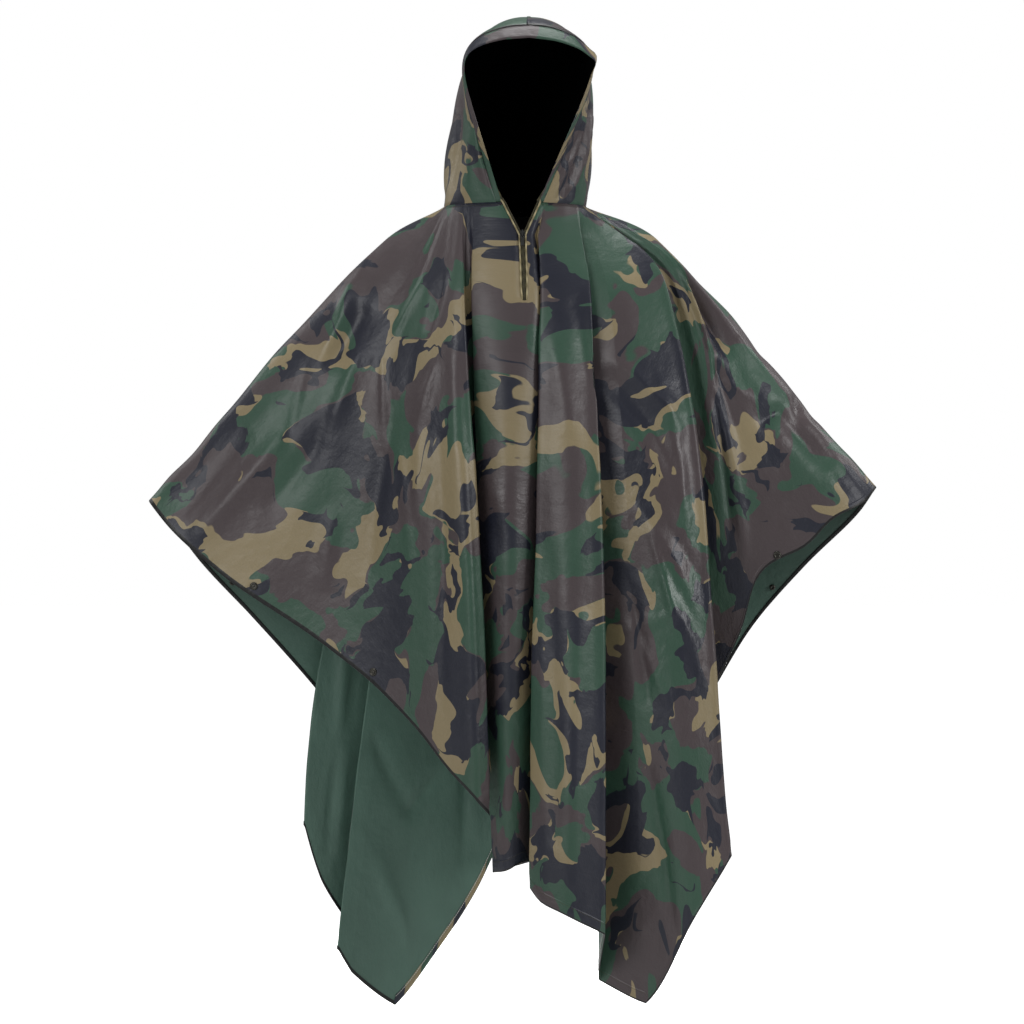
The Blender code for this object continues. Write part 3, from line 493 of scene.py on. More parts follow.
def fold_positions(folds, side):
    """Columns of the cloth as positions among the folds, closer together beside a pressed edge."""
    softness = soft_values(folds)
    edge = fold_lines(folds, side, np.array([1.0]))
    found = {float(len(folds) - 1)}
    for key in range(len(folds) - 1):
        samples = across_folds(edge, softness, key + 1 + np.linspace(0, 1, REACH_SAMPLES))[0]
        steps = max(LEAST_COLUMNS, round(way_along(samples)[-1] / COLUMN_PITCH))
        found.update(key + n / steps for n in range(steps))
        if softness[key + 1] < PRESSED:
            found.update(key + step for step in PRESSED_STEPS)
        if softness[key + 2] < PRESSED:
            found.update(key + 1 - step for step in PRESSED_STEPS)
    return np.array(sorted(found), dtype=float)


# where the shoulder line dips or stands up: which end, the level, its half length there, and the height in mm
SHOULDER_LINE = (
    ("left", 0.30, 0.08, 2.0),
    ("left", 0.56, 0.07, 3.6),
    ("left", 0.70, 0.05, -1.5),
    ("left", 0.84, 0.05, -4.2),
    ("left", 0.93, 0.03, 1.8),
    ("right", 0.33, 0.04, -2.0),
    ("right", 0.46, 0.06, 5.0),
    ("right", 0.565, 0.03, -3.5),
    ("right", 0.66, 0.05, 2.2),
    ("right", 0.765, 0.025, -3.0),
    ("right", 0.92, 0.05, 3.0),
)
SHOULDER_SHARE = 0.9
FANNED_ROWS = 3  # a third of the rows lie too near the neck for the cloth to have fanned out


def panel_grid(folds, side, levels, positions):
    grid = across_folds(fold_lines(folds, side, levels), soft_values(folds), positions + 1)
    flat = np.abs(grid[..., 1]) < RIDGE_GAP
    grid[..., 1][flat] = side * RIDGE_GAP
    for end, level, reach, height in SHOULDER_LINE:
        from_end = positions if end == "left" else len(folds) - 1 - positions
        share = bell((levels - level) / reach)[:, None] * bell(from_end / SHOULDER_SHARE)
        grid[..., 2] += height * MM * share
    return grid


def flat_place(grid, way):
    """Each point's place on the flat cloth, and its distance down its fold from the neck hole's middle."""
    reach = ways_down(grid) + NECK_HALF_WIDTH
    gaps = np.linalg.norm(np.diff(grid, axis=1), axis=2)
    middle = (reach[:, 1:] + reach[:, :-1]) / 2
    lower = slice(len(grid) // FANNED_ROWS, None)
    turn = np.concatenate(((0,), np.cumsum((gaps[lower] / middle[lower]).mean(axis=0))))
    turn *= math.pi / turn[-1]
    return np.stack((-reach * np.cos(turn), way * reach * np.sin(turn)), axis=2), reach


def surface_normals(grid, outward):
    return unit_rows(np.cross(np.gradient(grid, axis=0), np.gradient(grid, axis=1)) * outward)


def drawn_up(grid, positions, changes):
    """The cloth shortened down some folds, so its lower edge hangs a little higher or lower there."""
    share = sum(amount * bell((positions - at) / reach) for at, reach, amount in changes)
    moved = grid.copy()
    for c, short in enumerate(share):
        levels = LEVELS * (1 - short)
        for axis in range(3):
            line = grid[:, c, axis]
            beyond = (line[-1] - line[-2]) / (LEVELS[-1] - LEVELS[-2]) * np.maximum(0, levels - 1)
            moved[:, c, axis] = np.interp(levels, LEVELS, line) + beyond
    return moved


CREASE_COLUMNS = ("start", "end", "half_width", "height", "bend", "crisp")
CREASE_HEIGHT = 2.2
CREST = 2.5  # how round even a crisp crease is on top, in millimetres
CREST_FALL = 1.4
CREASE_OVERRUN = 0.12
CREASE_ENDS = (0.02, 0.98)
CREASE_FADE = 0.7


def spot_finder(flat, positions, levels):
    def spot_of(spot):
        c = int(round(np.interp(spot[0], positions, np.arange(len(positions)))))
        r = int(round(np.interp(spot[1], levels, np.arange(len(levels)))))
        return flat[r, c]

    return spot_of


def crease_relief(flat, creases, spot_of):
    """Height of the listed creases: each runs from spot to spot with a soft or a crisp back."""
    relief = np.zeros(flat.shape[:2])
    for crease in creases:
        row = dict(zip(CREASE_COLUMNS, crease))
        start, end = spot_of(row["start"]), spot_of(row["end"])
        length = max(np.linalg.norm(end - start), TINY)
        unit = (end - start) / length
        away = flat - start
        along = away @ unit / length
        share = np.clip(along, 0, 1)
        off = away @ np.array((-unit[1], unit[0])) - row["bend"] * MM * 4 * share * (1 - share)
        beyond = np.abs(along - share) * length
        far = np.hypot(off, beyond) / (row["half_width"] * MM)
        crest = CREST / row["half_width"]
        peak = np.exp((crest - np.hypot(far, crest)) * CREST_FALL)
        back = bell(far) * (1 - row["crisp"]) + peak * row["crisp"]
        shown = np.clip((along + CREASE_OVERRUN) / (1 + 2 * CREASE_OVERRUN), *CREASE_ENDS)
        relief += row["height"] * CREASE_HEIGHT * MM * back * np.sin(np.pi * shown) ** CREASE_FADE
    return relief


SWELL = (6.0, 1.6)  # how many to a metre, and their height in millimetres
DRAG = (11.0, 3.2, 1.8)  # to a radian round the neck, to a metre down the fall, and their height
WRINKLE = (19.0, 0.6)
DRAG_SEED = 3.1
WRINKLE_SEED = 7.3


def wrinkle_relief(flat, reach, seed):
    """Low uneven relief all over: broad swells, drag lines down the fall and finer wrinkles."""
    relief = np.zeros(flat.shape[:2])
    turn = np.arctan2(np.abs(flat[..., 1]), -flat[..., 0])
    for r, c in np.ndindex(*relief.shape):
        u, v = flat[r, c]
        swell = noise.noise(Vector((u * SWELL[0], v * SWELL[0], seed)))
        drag = noise.noise(Vector((turn[r, c] * DRAG[0], reach[r, c] * DRAG[1], seed + DRAG_SEED)))
        wrinkle = noise.noise(Vector((u * WRINKLE[0], v * WRINKLE[0], seed + WRINKLE_SEED)))
        relief[r, c] = (SWELL[1] * swell + DRAG[2] * drag + WRINKLE[1] * wrinkle) * MM
    return relief


CRINKLED_ALL_OVER = 0.2


def crinkle_share(flat, patches, spot_of):
    """How crushed the cloth is: a little everywhere and more round some spots."""
    share = np.full(flat.shape[:2], CRINKLED_ALL_OVER)
    for spot, reach, more in patches:
        share = share + more * bell(np.linalg.norm(flat - spot_of(spot), axis=2) / (reach * MM))
    return np.minimum(share, 1.0)


HEM_TURN = 0.8 * MM
HEM_ROWS = 4
BINDING_DEPTH = 5.4 * MM
BINDING_OVERLAP = 1.05
HEM_CLEAR = 30 * MM  # keeps the hem's step off the bound side edges
TURN_STEPS = 3
TURN_SHARE = 0.4  # the edge's dark colour, partly painted shade, reaches further round the turn than down the face


def down_the_cloth(values, reach, at):
    """Values read off each column of the cloth, at a distance down it."""
    read = np.empty_like(values[0])
    for c, axis in np.ndindex(*read.shape):
        read[c, axis] = np.interp(at[c], reach[:, c], values[:, c, axis])
    return read


def bound_sides(folds, positions, corners):
    """1 for the columns whose lower end is a side edge of the cloth, and 0 between its two corners."""
    names = [fold[0] for fold in folds]
    first, last = (names.index(corner) for corner in corners)
    return ((positions < first) | (positions > last)).astype(float)


def with_hem(grid, normals, flat, reach, crushed, bound):
    """Adds the lower edge's hem: the cloth turns round the edge and lies up its back."""
    hem_deep = HEM_DEPTH * (1 - bound) + BINDING_DEPTH * bound
    rows, faces, places, edges = [grid], [normals], [flat], [reach[-1] - reach]
    outer = normals[-1]
    down = unit_rows(grid[-1] - grid[-2])
    unit = unit_rows(flat[-1] - flat[-2])
    for step in range(1, TURN_STEPS + 1):
        turn = math.pi * step / TURN_STEPS
        run = HEM_TURN * turn
        rows.append([grid[-1] + down * HEM_TURN * math.sin(turn) - outer * HEM_TURN * (1 - math.cos(turn))])
        faces.append([outer * math.cos(turn) + down * math.sin(turn)])
        places.append([flat[-1] + unit * run])
        edges.append(np.full((1, grid.shape[1]), run * TURN_SHARE))
    for step in range(1, HEM_ROWS + 1):
        deep = hem_deep * step / HEM_ROWS
        face = down_the_cloth(normals, reach, reach[-1] - deep)
        rows.append([down_the_cloth(grid, reach, reach[-1] - deep) - face * 2 * HEM_TURN])
        faces.append([-face])
        places.append([flat[-1] + unit * (run + deep[:, None])])
        edges.append([deep])
    crushed = np.vstack((crushed, np.tile(crushed[-1], (TURN_STEPS + HEM_ROWS, 1))))
    # the dark edge band: painted shade along the hem's edge, and the dark binding where the side edges are
    # bound
    black = EDGE_WIDTH * (1 - bound) + BINDING_DEPTH * BINDING_OVERLAP * bound
    edge = np.vstack(edges)
    rim = edge / black
    return np.vstack(rows), np.vstack(faces), np.vstack(places), edge + bound * HEM_CLEAR, crushed, rim


def mended(mesh, source=None, flatten=None, outwards=False):
    """Merges doubled points, and where asked joins flat faces into one or turns all faces outwards."""
    solid = bmesh.new()
    solid.from_mesh(mesh if source is None else source)
    bmesh.ops.remove_doubles(solid, verts=solid.verts, dist=MERGE)
    bmesh.ops.delete(solid, geom=[v for v in solid.verts if not v.link_faces], context="VERTS")
    if flatten:
        bmesh.ops.dissolve_limit(solid, angle_limit=flatten, verts=solid.verts, edges=solid.edges)
    if outwards:
        bmesh.ops.recalc_face_normals(solid, faces=solid.faces)
    solid.to_mesh(mesh)
    solid.free()


def open_edges(quads):
    """The sides that only one face has, in that face's own direction."""
    sides = {}
    for n in range(4):
        for a, b in zip(quads[:, n].tolist(), quads[:, (n + 1) % 4].tolist()):
            if (b, a) in sides:
                del sides[(b, a)]
            else:
                sides[(a, b)] = True
    return sides


def cloth_piece(name, grid, normals, flat, edge, crushed, rim, finishes, wall=CLOTH_WALL, **shape):
    """A thin cloth wall on a grid of points: its face, its back, and the rims between."""
    rows, columns = grid.shape[:2]
    count = rows * columns
    number = np.arange(count).reshape(rows, columns)
    quads = np.stack((number[:-1, :-1], number[1:, :-1], number[1:, 1:], number[:-1, 1:]), axis=2)
    cut = shape.get("cut")
    quads = quads.reshape(-1, 4) if cut is None else quads[~cut]
    if shape.get("flip"):
        quads = quads[:, ::-1]
    rims = np.array([(b, a, a + count, b + count) for a, b in open_edges(quads)])
    faces = np.vstack((quads, quads[:, (0, 3, 2, 1)] + count, rims))
    inner = grid - normals * wall
    if shape.get("level_ends"):
        inner[:, (0, -1), 1] = grid[:, (0, -1), 1]
    mesh = bpy.data.meshes.new(name)
    mesh.from_pydata(np.vstack((grid.reshape(-1, 3), inner.reshape(-1, 3))).tolist(), [], faces.tolist())
    layer = mesh.uv_layers.new(name=CLOTH_MAP)
    spots = np.empty(len(mesh.loops), dtype=np.int32)
    mesh.loops.foreach_get("vertex_index", spots)
    place = np.tile(flat.reshape(-1, 2), (2, 1))
    layer.data.foreach_set("uv", place[spots].astype(np.float32).ravel())
    # drop, the distance below the neck, sets where the coating's painted shade lies
    below_neck = np.maximum(0, -grid[..., 2])
    for label, values in (("edge", edge), ("crinkle", crushed), ("rim", rim), ("drop", below_neck)):
        attribute = mesh.attributes.new(label, "FLOAT", "POINT")
        attribute.data.foreach_set("value", np.tile(values.ravel(), 2).astype(np.float32))
    for finish in finishes:
        mesh.materials.append(finish)
    layers = np.zeros(len(faces), dtype=np.int32)
    layers[len(quads) : 2 * len(quads)] = 1
    mesh.polygons.foreach_set("material_index", layers)
    mesh.polygons.foreach_set("use_smooth", np.arange(len(faces)) < 2 * len(quads))
    mended(mesh)
    return placed(name, mesh)


# ------------------------------------------------------------------ front of the body
# The front half, from the shoulder line down, with the neck slit for the zip. Its lower edge is turned up
# at the back, and the wearer's folds, pulls and packing creases stand in it.

FRONT_CREASES = (
    ((0.25, 0.235), (0.88, 0.350), 10, 3.0, 2, 0.6),
    ((0.75, 0.30), (1.35, 0.47), 9, 3.2, 3, 0.8),
    ((1.50, 0.30), (1.60, 0.45), 18, -5.5, 0, 0.2),
    ((1.95, 0.37), (2.30, 0.58), 13, 2.4, 4, 0.4),
    ((1.62, 0.66), (1.45, 0.97), 15, 5.0, 4, 0.7),
    ((1.05, 0.72), (0.95, 0.95), 17, -3.2, 0, 0.3),
    ((2.20, 0.55), (2.10, 0.80), 17, -3.0, 3, 0.2),
    ((2.70, 0.72), (2.81, 0.88), 12, 2.6, 0, 0.3),
    ((3.30, 0.42), (3.40, 0.78), 18, -3.2, -5, 0.2),
    ((4.44, 0.43), (5.06, 0.290), 11, 2.6, 2, 0.4),
    ((4.62, 0.44), (4.69, 0.60), 10, 2.6, 0, 0.5),
    ((5.50, 0.42), (5.70, 0.90), 17, -3.2, 4, 0.2),
    ((6.35, 0.25), (6.45, 0.62), 12, 2.2, 2, 0.3),
    ((6.95, 0.42), (7.05, 0.82), 10, 2.6, 0, 0.4),
    ((5.2, 0.12), (4.4, 0.24), 12, -2.6, 2, 0.3),
    ((3.4, 0.14), (2.7, 0.27), 12, 2.4, -2, 0.4),
    ((12.3, 0.25), (12.2, 0.78), 9, 2.4, 0, 0.3),
    ((11.6, 0.42), (12.1, 0.48), 7, 1.4, 1, 0.8),
    ((11.5, 0.49), (12.0, 0.53), 7, -1.4, 1, 0.6),
    ((11.3, 0.745), (12.6, 0.752), 5, 1.0, 0, 0.9),
    ((17.06, 0.20), (17.94, 0.34), 10, 2.4, 2, 0.6),
    ((18.4, 0.15), (18.9, 0.30), 11, -2.4, 0, 0.4),
    ((18.75, 0.285), (20.6, 0.46), 9, 2.2, 6, 0.8),
    ((20.7, 0.235), (22.6, 0.385), 9, 2.8, 3, 0.9),
    ((20.5, 0.26), (22.2, 0.42), 12, -3.0, 3, 0.4),
    ((21.5, 0.47), (22.0, 0.63), 10, 3.0, 2, 0.8),
    ((20.9, 0.50), (21.3, 0.66), 14, -2.8, 0, 0.3),
    ((21.88, 0.565), (22.56, 0.70), 10, 2.6, -2, 0.7),
    ((20.4, 0.578), (22.0, 0.606), 5, 1.2, 0, 0.9),
    ((16.9, 0.50), (17.4, 0.90), 15, -2.8, 3, 0.2),
    ((18.3, 0.60), (18.1, 0.95), 13, 2.4, -3, 0.3),
    ((21.2, 0.74), (21.6, 0.96), 16, -3.0, 3, 0.3),
    ((22.2, 0.30), (22.5, 0.52), 10, 2.0, 0, 0.5),
    ((27.85, 0.185), (27.05, 0.45), 12, 4.2, -3, 0.7),
    ((28.62, 0.185), (29.02, 0.49), 10, 3.2, 2, 0.7),
    ((28.25, 0.28), (28.15, 0.46), 18, -6.0, 0, 0.2),
    ((29.02, 0.48), (29.50, 0.68), 8, 2.6, 0, 0.8),
    ((29.70, 0.705), (29.25, 0.745), 9, -4.0, 0, 0.5),
    ((28.80, 0.70), (29.00, 0.87), 15, -4.6, 0, 0.3),
    ((29.32, 0.74), (29.25, 0.985), 9, 3.4, 0, 0.7),
    ((29.00, 0.69), (28.15, 0.675), 12, -3.0, 0, 0.6),
    ((27.10, 0.46), (27.50, 0.72), 16, -3.0, 4, 0.3),
    ((27.00, 0.62), (26.80, 0.92), 14, 2.6, 2, 0.4),
    ((26.4, 0.50), (26.3, 0.80), 15, -2.6, 0, 0.2),
    ((21.82, 0.300), (23.00, 0.395), 5, 1.5, 0, 0.8),
    ((20.60, 0.275), (21.70, 0.360), 5, -1.3, 0, 0.7),
    ((21.30, 0.430), (22.60, 0.640), 6, 1.7, 3, 0.8),
    ((21.95, 0.480), (22.80, 0.610), 5, -1.6, 0, 0.7),
    ((20.90, 0.560), (21.70, 0.700), 5, 1.4, -2, 0.8),
    ((22.10, 0.640), (22.80, 0.760), 5, 1.3, 2, 0.8),
    ((2.60, 0.34), (3.30, 0.52), 6, 1.5, 2, 0.8),
    ((1.10, 0.50), (1.90, 0.66), 6, -1.6, -2, 0.7),
    ((3.90, 0.50), (4.60, 0.70), 6, 1.4, 2, 0.8),
    ((27.40, 0.52), (28.20, 0.62), 6, 1.6, 0, 0.8),
    ((26.80, 0.40), (27.60, 0.56), 6, -1.5, 2, 0.7),
    ((7.93, 0.10), (7.93, 0.98), 5, 1.3, 0, 0.3),
    ((16.12, 0.10), (16.12, 0.98), 5, 1.3, 0, 0.3),
    ((18.94, 0.10), (18.94, 0.98), 5, 1.6, 0, 0.3),
    ((22.94, 0.10), (22.94, 0.98), 5, 1.6, 0, 0.3),
)
FRONT_CRINKLES = (
    ((21.6, 0.40), 90, 0.6),
    ((22.1, 0.58), 80, 0.7),
    ((17.3, 0.24), 60, 0.35),
    ((11.7, 0.47), 45, 0.6),
    ((8.0, 0.24), 35, 0.4),
    ((27.6, 0.42), 70, 0.4),
    ((1.4, 0.33), 80, 0.25),
    ((28.9, 0.80), 70, 0.3),
)
FRONT_DRAWN_UP = ((28.5, 0.45, 0.022), (27.3, 0.5, 0.015))  # position, reach, share of the length
SLIT_TOP = 28 * MM
SLIT_SLIDER = 4.6 * MM
SLIT_END = 3.2 * MM
SLIT_NARROW = 0.13
SLIDER_Z = -50 * MM
SLIT_REACH = 70 * MM
SLIT_FADE = 0.05
SLIT_FOLD = "zip_line"
SLIT_CALM = 0.4  # how near the slit, the neck seam and the shoulder line a crease dies away
NECK_CALM = 0.07
SHOULDER_CALM = 0.3
FRONT_SEED = 3.0
CURLED = 0.3  # what shows of the right side's binding, which has curled under


def slit_halves(z, levels):
    """Half width of the neck slit at each level, from the neck to where it has closed."""
    spread = np.clip(1 - z / SLIDER_Z, 0, 1)
    half = SLIT_SLIDER + (SLIT_TOP - SLIT_SLIDER) * spread
    shut = np.interp(levels, (0, SLIT_NARROW, SLIT_LEVEL, SLIT_CLOSED), (1, SLIT_SLIDER, SLIT_END, 0))
    return np.minimum(half, shut)


def neck_front(x):
    return NECK_HALF_DEPTH * np.sqrt(np.maximum(0, 1 - (x / NECK_HALF_WIDTH) ** 2))


def part_at_slit(row, middle, way, half, level):
    """One side's cloth drawn away from the slit, with its top kept on the neck's edge."""
    off = row[:, 0] - middle
    moved = row.copy()
    near = np.abs(off) < SLIT_REACH
    moved[near, 0] = middle + way * (half + np.abs(off[near]) * (1 - half / SLIT_REACH))
    fade = max(0.0, 1 - level / SLIT_FADE)
    moved[near, 1] -= (neck_front(moved[near, 0]) - neck_front(row[near, 0])) * fade
    return moved


def fade_in(way, reach):
    return np.clip(way / reach, 0, 1)


def ridge_calm(positions, folds, levels):
    """Share of a crease's height that the cloth takes: none at the neck seam and along the shoulder line."""
    from_ridge = np.minimum(positions, len(folds) - 1 - positions)
    return fade_in(levels, NECK_CALM)[:, None] * fade_in(from_ridge, SHOULDER_CALM)


def creased(grid, side, positions, calm, creases, patches, seed):
    """The cloth with its creases, each point's flat place and way down, and how crushed it is there."""
    flat, reach = flat_place(grid, side)
    spot_of = spot_finder(flat, positions, LEVELS)
    relief = (crease_relief(flat, creases, spot_of) + wrinkle_relief(flat, reach, seed)) * calm
    raised = grid + surface_normals(grid, -side) * relief[..., None]
    return raised, flat, reach, crinkle_share(flat, patches, spot_of)


front_positions = fold_positions(FRONT_FOLDS, -1)
slit_position = [fold[0] for fold in FRONT_FOLDS].index(SLIT_FOLD)
slit_column = int(np.argmin(np.abs(front_positions - slit_position)))
closed = LEVELS >= SLIT_CLOSED
off_slit = np.abs(front_positions - front_positions[slit_column])
calm = ridge_calm(front_positions, FRONT_FOLDS, LEVELS) * np.clip(off_slit / SLIT_CALM, closed[:, None], 1)
smooth = drawn_up(panel_grid(FRONT_FOLDS, -1, LEVELS, front_positions), front_positions, FRONT_DRAWN_UP)
surface = creased(smooth, -1, front_positions, calm, FRONT_CREASES, FRONT_CRINKLES, FRONT_SEED)
double = np.concatenate((np.arange(slit_column + 1), np.arange(slit_column, len(front_positions))))
whole, flat_front, front_reach, crushed = surface[0], *(values[:, double] for values in surface[1:])
parted = []
for row, half, level in zip(whole, slit_halves(whole[:, slit_column, 2], LEVELS), LEVELS):
    sides = [row[: slit_column + 1], row[slit_column:]]
    if level < SLIT_CLOSED:
        middle = row[slit_column, 0]
        sides = [part_at_slit(side, middle, way, half, level) for side, way in zip(sides, (-1, 1))]
    parted.append(np.vstack(sides))
front_grid = np.array(parted)
front_sides = (slice(0, slit_column + 1), slice(slit_column + 1, None))
front_normals = np.hstack([surface_normals(front_grid[:, part], 1) for part in front_sides])
front_normals[closed] = surface_normals(whole, 1)[closed][:, double]
front_bound = bound_sides(FRONT_FOLDS, front_positions, ("tucked_corner", "front_corner"))[double]
front_bound[len(front_bound) // 2 :] *= CURLED
hemmed = with_hem(front_grid, front_normals, flat_front, front_reach, crushed, front_bound)
open_slit = np.zeros((len(hemmed[0]) - 1, len(double) - 1), bool)
open_slit[: int(np.argmin(np.abs(LEVELS - SLIT_LEVEL))), slit_column] = True
front_cloth = cloth_piece("front_cloth", *hemmed, (printed_face, coated_back), cut=open_slit, level_ends=True)
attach(front_cloth, "poncho")
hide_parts("front_panel")

# ------------------------------------------------------------------ back of the body
# The back half, cut and hemmed as the front is, without a slit.

BACK_CREASES = (
    ((0.5, 0.25), (1.1, 0.42), 12, 3.2, 2, 0.6),
    ((1.4, 0.32), (1.5, 0.50), 17, -4.6, 0, 0.2),
    ((1.5, 0.62), (1.3, 0.95), 14, 4.2, -4, 0.6),
    ((2.3, 0.40), (2.2, 0.80), 17, -3.2, 3, 0.2),
    ((3.2, 0.30), (3.3, 0.72), 13, 2.8, 3, 0.4),
    ((4.3, 0.20), (4.2, 0.55), 14, -2.8, 0, 0.3),
    ((6.6, 0.60), (7.3, 0.92), 15, -2.6, 0, 0.3),
    ((7.2, 0.70), (7.1, 0.95), 12, 2.2, 2, 0.4),
    ((9.9, 0.72), (10.9, 0.775), 12, 2.4, 3, 0.5),
    ((10.9, 0.775), (11.7, 0.765), 12, 2.2, -2, 0.5),
    ((10.3, 0.85), (11.3, 0.95), 14, -2.6, 4, 0.3),
    ((12.2, 0.60), (12.6, 0.92), 15, 2.4, -3, 0.3),
    ((13.5, 0.35), (13.2, 0.80), 15, -3.0, 3, 0.2),
    ((14.2, 0.15), (14.1, 0.40), 11, 2.4, 0, 0.4),
    ((16.2, 0.20), (16.0, 0.60), 12, 2.6, 3, 0.3),
    ((16.6, 0.55), (16.4, 0.93), 15, -2.8, 0, 0.3),
    ((18.3, 0.30), (18.2, 0.75), 13, 2.4, -3, 0.4),
    ((19.4, 0.55), (20.2, 0.72), 11, 2.6, 3, 0.7),
    ((20.3, 0.20), (20.6, 0.52), 15, -3.2, 3, 0.3),
    ((21.0, 0.60), (21.2, 0.95), 16, -2.8, 0, 0.3),
    ((25.4, 0.42), (25.1, 0.80), 14, -3.2, 2, 0.3),
    ((26.0, 0.25), (25.6, 0.52), 11, 3.0, 2, 0.6),
    ((26.4, 0.55), (26.2, 0.92), 13, 3.2, -3, 0.5),
    ((26.8, 0.28), (27.0, 0.50), 13, -4.0, 0, 0.3),
)
BACK_CRINKLES = (
    ((10.6, 0.80), 80, 0.2),
    ((14.1, 0.30), 70, 0.35),
    ((18.4, 0.45), 90, 0.35),
    ((20.3, 0.60), 80, 0.4),
    ((1.4, 0.40), 80, 0.3),
    ((26.0, 0.45), 70, 0.3),
)
BACK_SEED = 9.0

back_positions = fold_positions(BACK_FOLDS, 1)
smooth = panel_grid(BACK_FOLDS, 1, LEVELS, back_positions)
calm = ridge_calm(back_positions, BACK_FOLDS, LEVELS)
surface = creased(smooth, 1, back_positions, calm, BACK_CREASES, BACK_CRINKLES, BACK_SEED)
back_grid, flat_back, back_reach, crushed = surface
back_normals = surface_normals(back_grid, -1)
back_bound = bound_sides(BACK_FOLDS, back_positions, ("left_corner", "right_corner"))
hemmed = with_hem(back_grid, back_normals, flat_back, back_reach, crushed, back_bound)
back_cloth = cloth_piece("back_cloth", *hemmed, (printed_face, coated_back), flip=True, level_ends=True)
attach(back_cloth, "poncho")
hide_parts("back_panel")

# ------------------------------------------------------------------ hood
# Two side panels felled together over the crown, and a turned band round the face, in the same cloth. Each
# has a seam allowance turned down inside the neck, and the wearer's side is painted nearly black, a painted
# shade.

HOOD_WALL = 0.8 * MM
RIB_COLUMNS = ("name", "foot_deg", "half_width", "side_y", "corner_z", "top_y", "top_z", "squareness")
HOOD_RIBS = (
    ("face", 15, 106, -112, 209, -116, 238, 10.0),
    ("band", 19, 113, -96, 216, -100, 258, 7.5),
    ("brow", 43, 106, -50, 221, -50, 276, 5.2),
    ("crown", 81, 110, 20, 227, 20, 283, 4.2),
    ("back", 123, 95, 85, 200, 92, 250, 2.8),
    ("low_back", 153, 62, 112, 130, 124, 165, 2.4),
    ("nape", 169, 32, 104, 58, 113, 72, 2.2),
)
RIB_END = len(HOOD_RIBS)  # behind the last rib, where the hood comes down to a point at the nape
RIB_POINTS = 72
RIB_SHARES = np.linspace(0, 1, RIB_POINTS + 1)
RIB_SAMPLES = 400
RIB_COLUMN_STEPS = 9
FRONT_MIDDLE_DEG = 95
HOOD_LEAN = 0.05
HOOD_TIP = 0.1
CENTRE_PARTING = 0.05 * MM
BAND_PARTING = 0.008
NAPE_PARTING = 0.0008
ALLOWANCE = ((-8.0, 1.7), (-1.6, 1.3))  # down and in, in millimetres
FELL = (0.4, 2.6, 5.4)  # how far the right panel laps over the left, in millimetres
FELL_LIFT = 1.0 * MM
FELL_RISE = ((0, 2, 5), (0.1, 0.35, 1))  # columns back from the face, and the share of the lift there
BRIM_WIDTH = {-1: 0.0028, 1: 0.0040}
BRIM_FROM = 0.66  # the dark seam line along the band starts this far up the side
BRIM_FADE = 0.125
BRIM_SPREAD = 0.6
BRIM_CORNER_SHARE = 0.665  # the brim stands out in a corner at the right
BRIM_CORNER_LENGTH = 0.035
BRIM_CORNER_BACK = 1.1
BRIM_CORNER_FADE = 0.5
BRIM_CORNER = (6.0, 0.0, 4.5)


def hood_middle(z):
    return neck_point(FRONT_MIDDLE_DEG, -1)[0] + HOOD_LEAN * z


def rib_foot(degrees, side):
    quarter = FRONT_MIDDLE_DEG if side < 0 else 180 - FRONT_MIDDLE_DEG
    foot = neck_point(FRONT_MIDDLE_DEG + side * degrees * quarter / 90, -1)
    foot[0] += side * CENTRE_PARTING
    return foot


def evenly(points, count):
    """A line of points again, in so many equal steps."""
    way = way_along(points)
    wanted = np.linspace(0, way[-1], count + 1)
    return np.stack([np.interp(wanted, way, points[:, axis]) for axis in range(3)], axis=1)


def rib_line(rib, side):
    """One rib of the hood, from the neck seam up its side and over to the centre seam, in equal steps."""
    row = dict(zip(RIB_COLUMNS, rib))
    foot = rib_foot(row["foot_deg"], side)
    corner_z, top_z = row["corner_z"] * MM, row["top_z"] * MM
    corner = np.array((hood_middle(corner_z) + side * row["half_width"] * MM, row["side_y"] * MM, corner_z))
    top = np.array((hood_middle(top_z) + side * CENTRE_PARTING, row["top_y"] * MM, top_z))
    power = 2 / row["squareness"]
    turn = np.linspace(0, math.pi / 2, RIB_SAMPLES)[:, None]
    up = np.sin(turn) ** power
    across = 1 - np.maximum(0, np.cos(turn)) ** power
    arch = np.concatenate((across, across, across * (2 - across)), axis=1)
    fine = foot + (corner - foot) * up + (top - corner) * arch
    fine[:, 2] -= HOOD_TIP * (fine[:, 0] - hood_middle(fine[:, 2])) * fine[:, 2]
    return evenly(fine, RIB_POINTS)


def hood_sheet(side, positions):
    ribs = [rib_line(rib, side) for rib in HOOD_RIBS]
    ribs.append(np.tile(rib_foot(180, side), (RIB_POINTS + 1, 1)))
    grid = across_folds(np.stack(ribs, axis=1), [1.0] * len(ribs), positions)
    if side > 0:
        along = bell((RIB_SHARES - BRIM_CORNER_SHARE) / BRIM_CORNER_LENGTH)[:, None, None]
        near = bell(np.maximum(0, positions - BRIM_CORNER_BACK) / BRIM_CORNER_FADE)[None, :, None]
        grid = grid + np.array(BRIM_CORNER) * MM * along * near
    return grid


def flat_hood(grid, start):
    """Each point's place on the flat cloth: the way back along the middle row, and up its own column."""
    back = way_along(grid[len(grid) // 2])
    return np.stack((np.tile(back, (len(grid), 1)) + start[0], ways_down(grid) + start[1]), axis=2)


def with_allowance(grid):
    """Adds the neck seam's allowance below the hood's lower edge, inside the body cloth."""
    foot = grid[0]
    inward = unit_rows(-foot * (1, 1, 0))
    added = [foot + inward * step_in * MM + (0, 0, down * MM) for down, step_in in ALLOWANCE]
    return np.concatenate((np.array(added), grid))


def lap(under):
    """Rows of the felled seam, which lie a little above the panel under them."""
    rise = np.interp(np.arange(under.shape[1]), *FELL_RISE) * FELL_LIFT
    lifted = under + surface_normals(under, 1) * rise[None, :, None]
    way = ways_down(under)
    return [down_the_cloth(lifted, way, way[-1] - over * MM) for over in FELL]


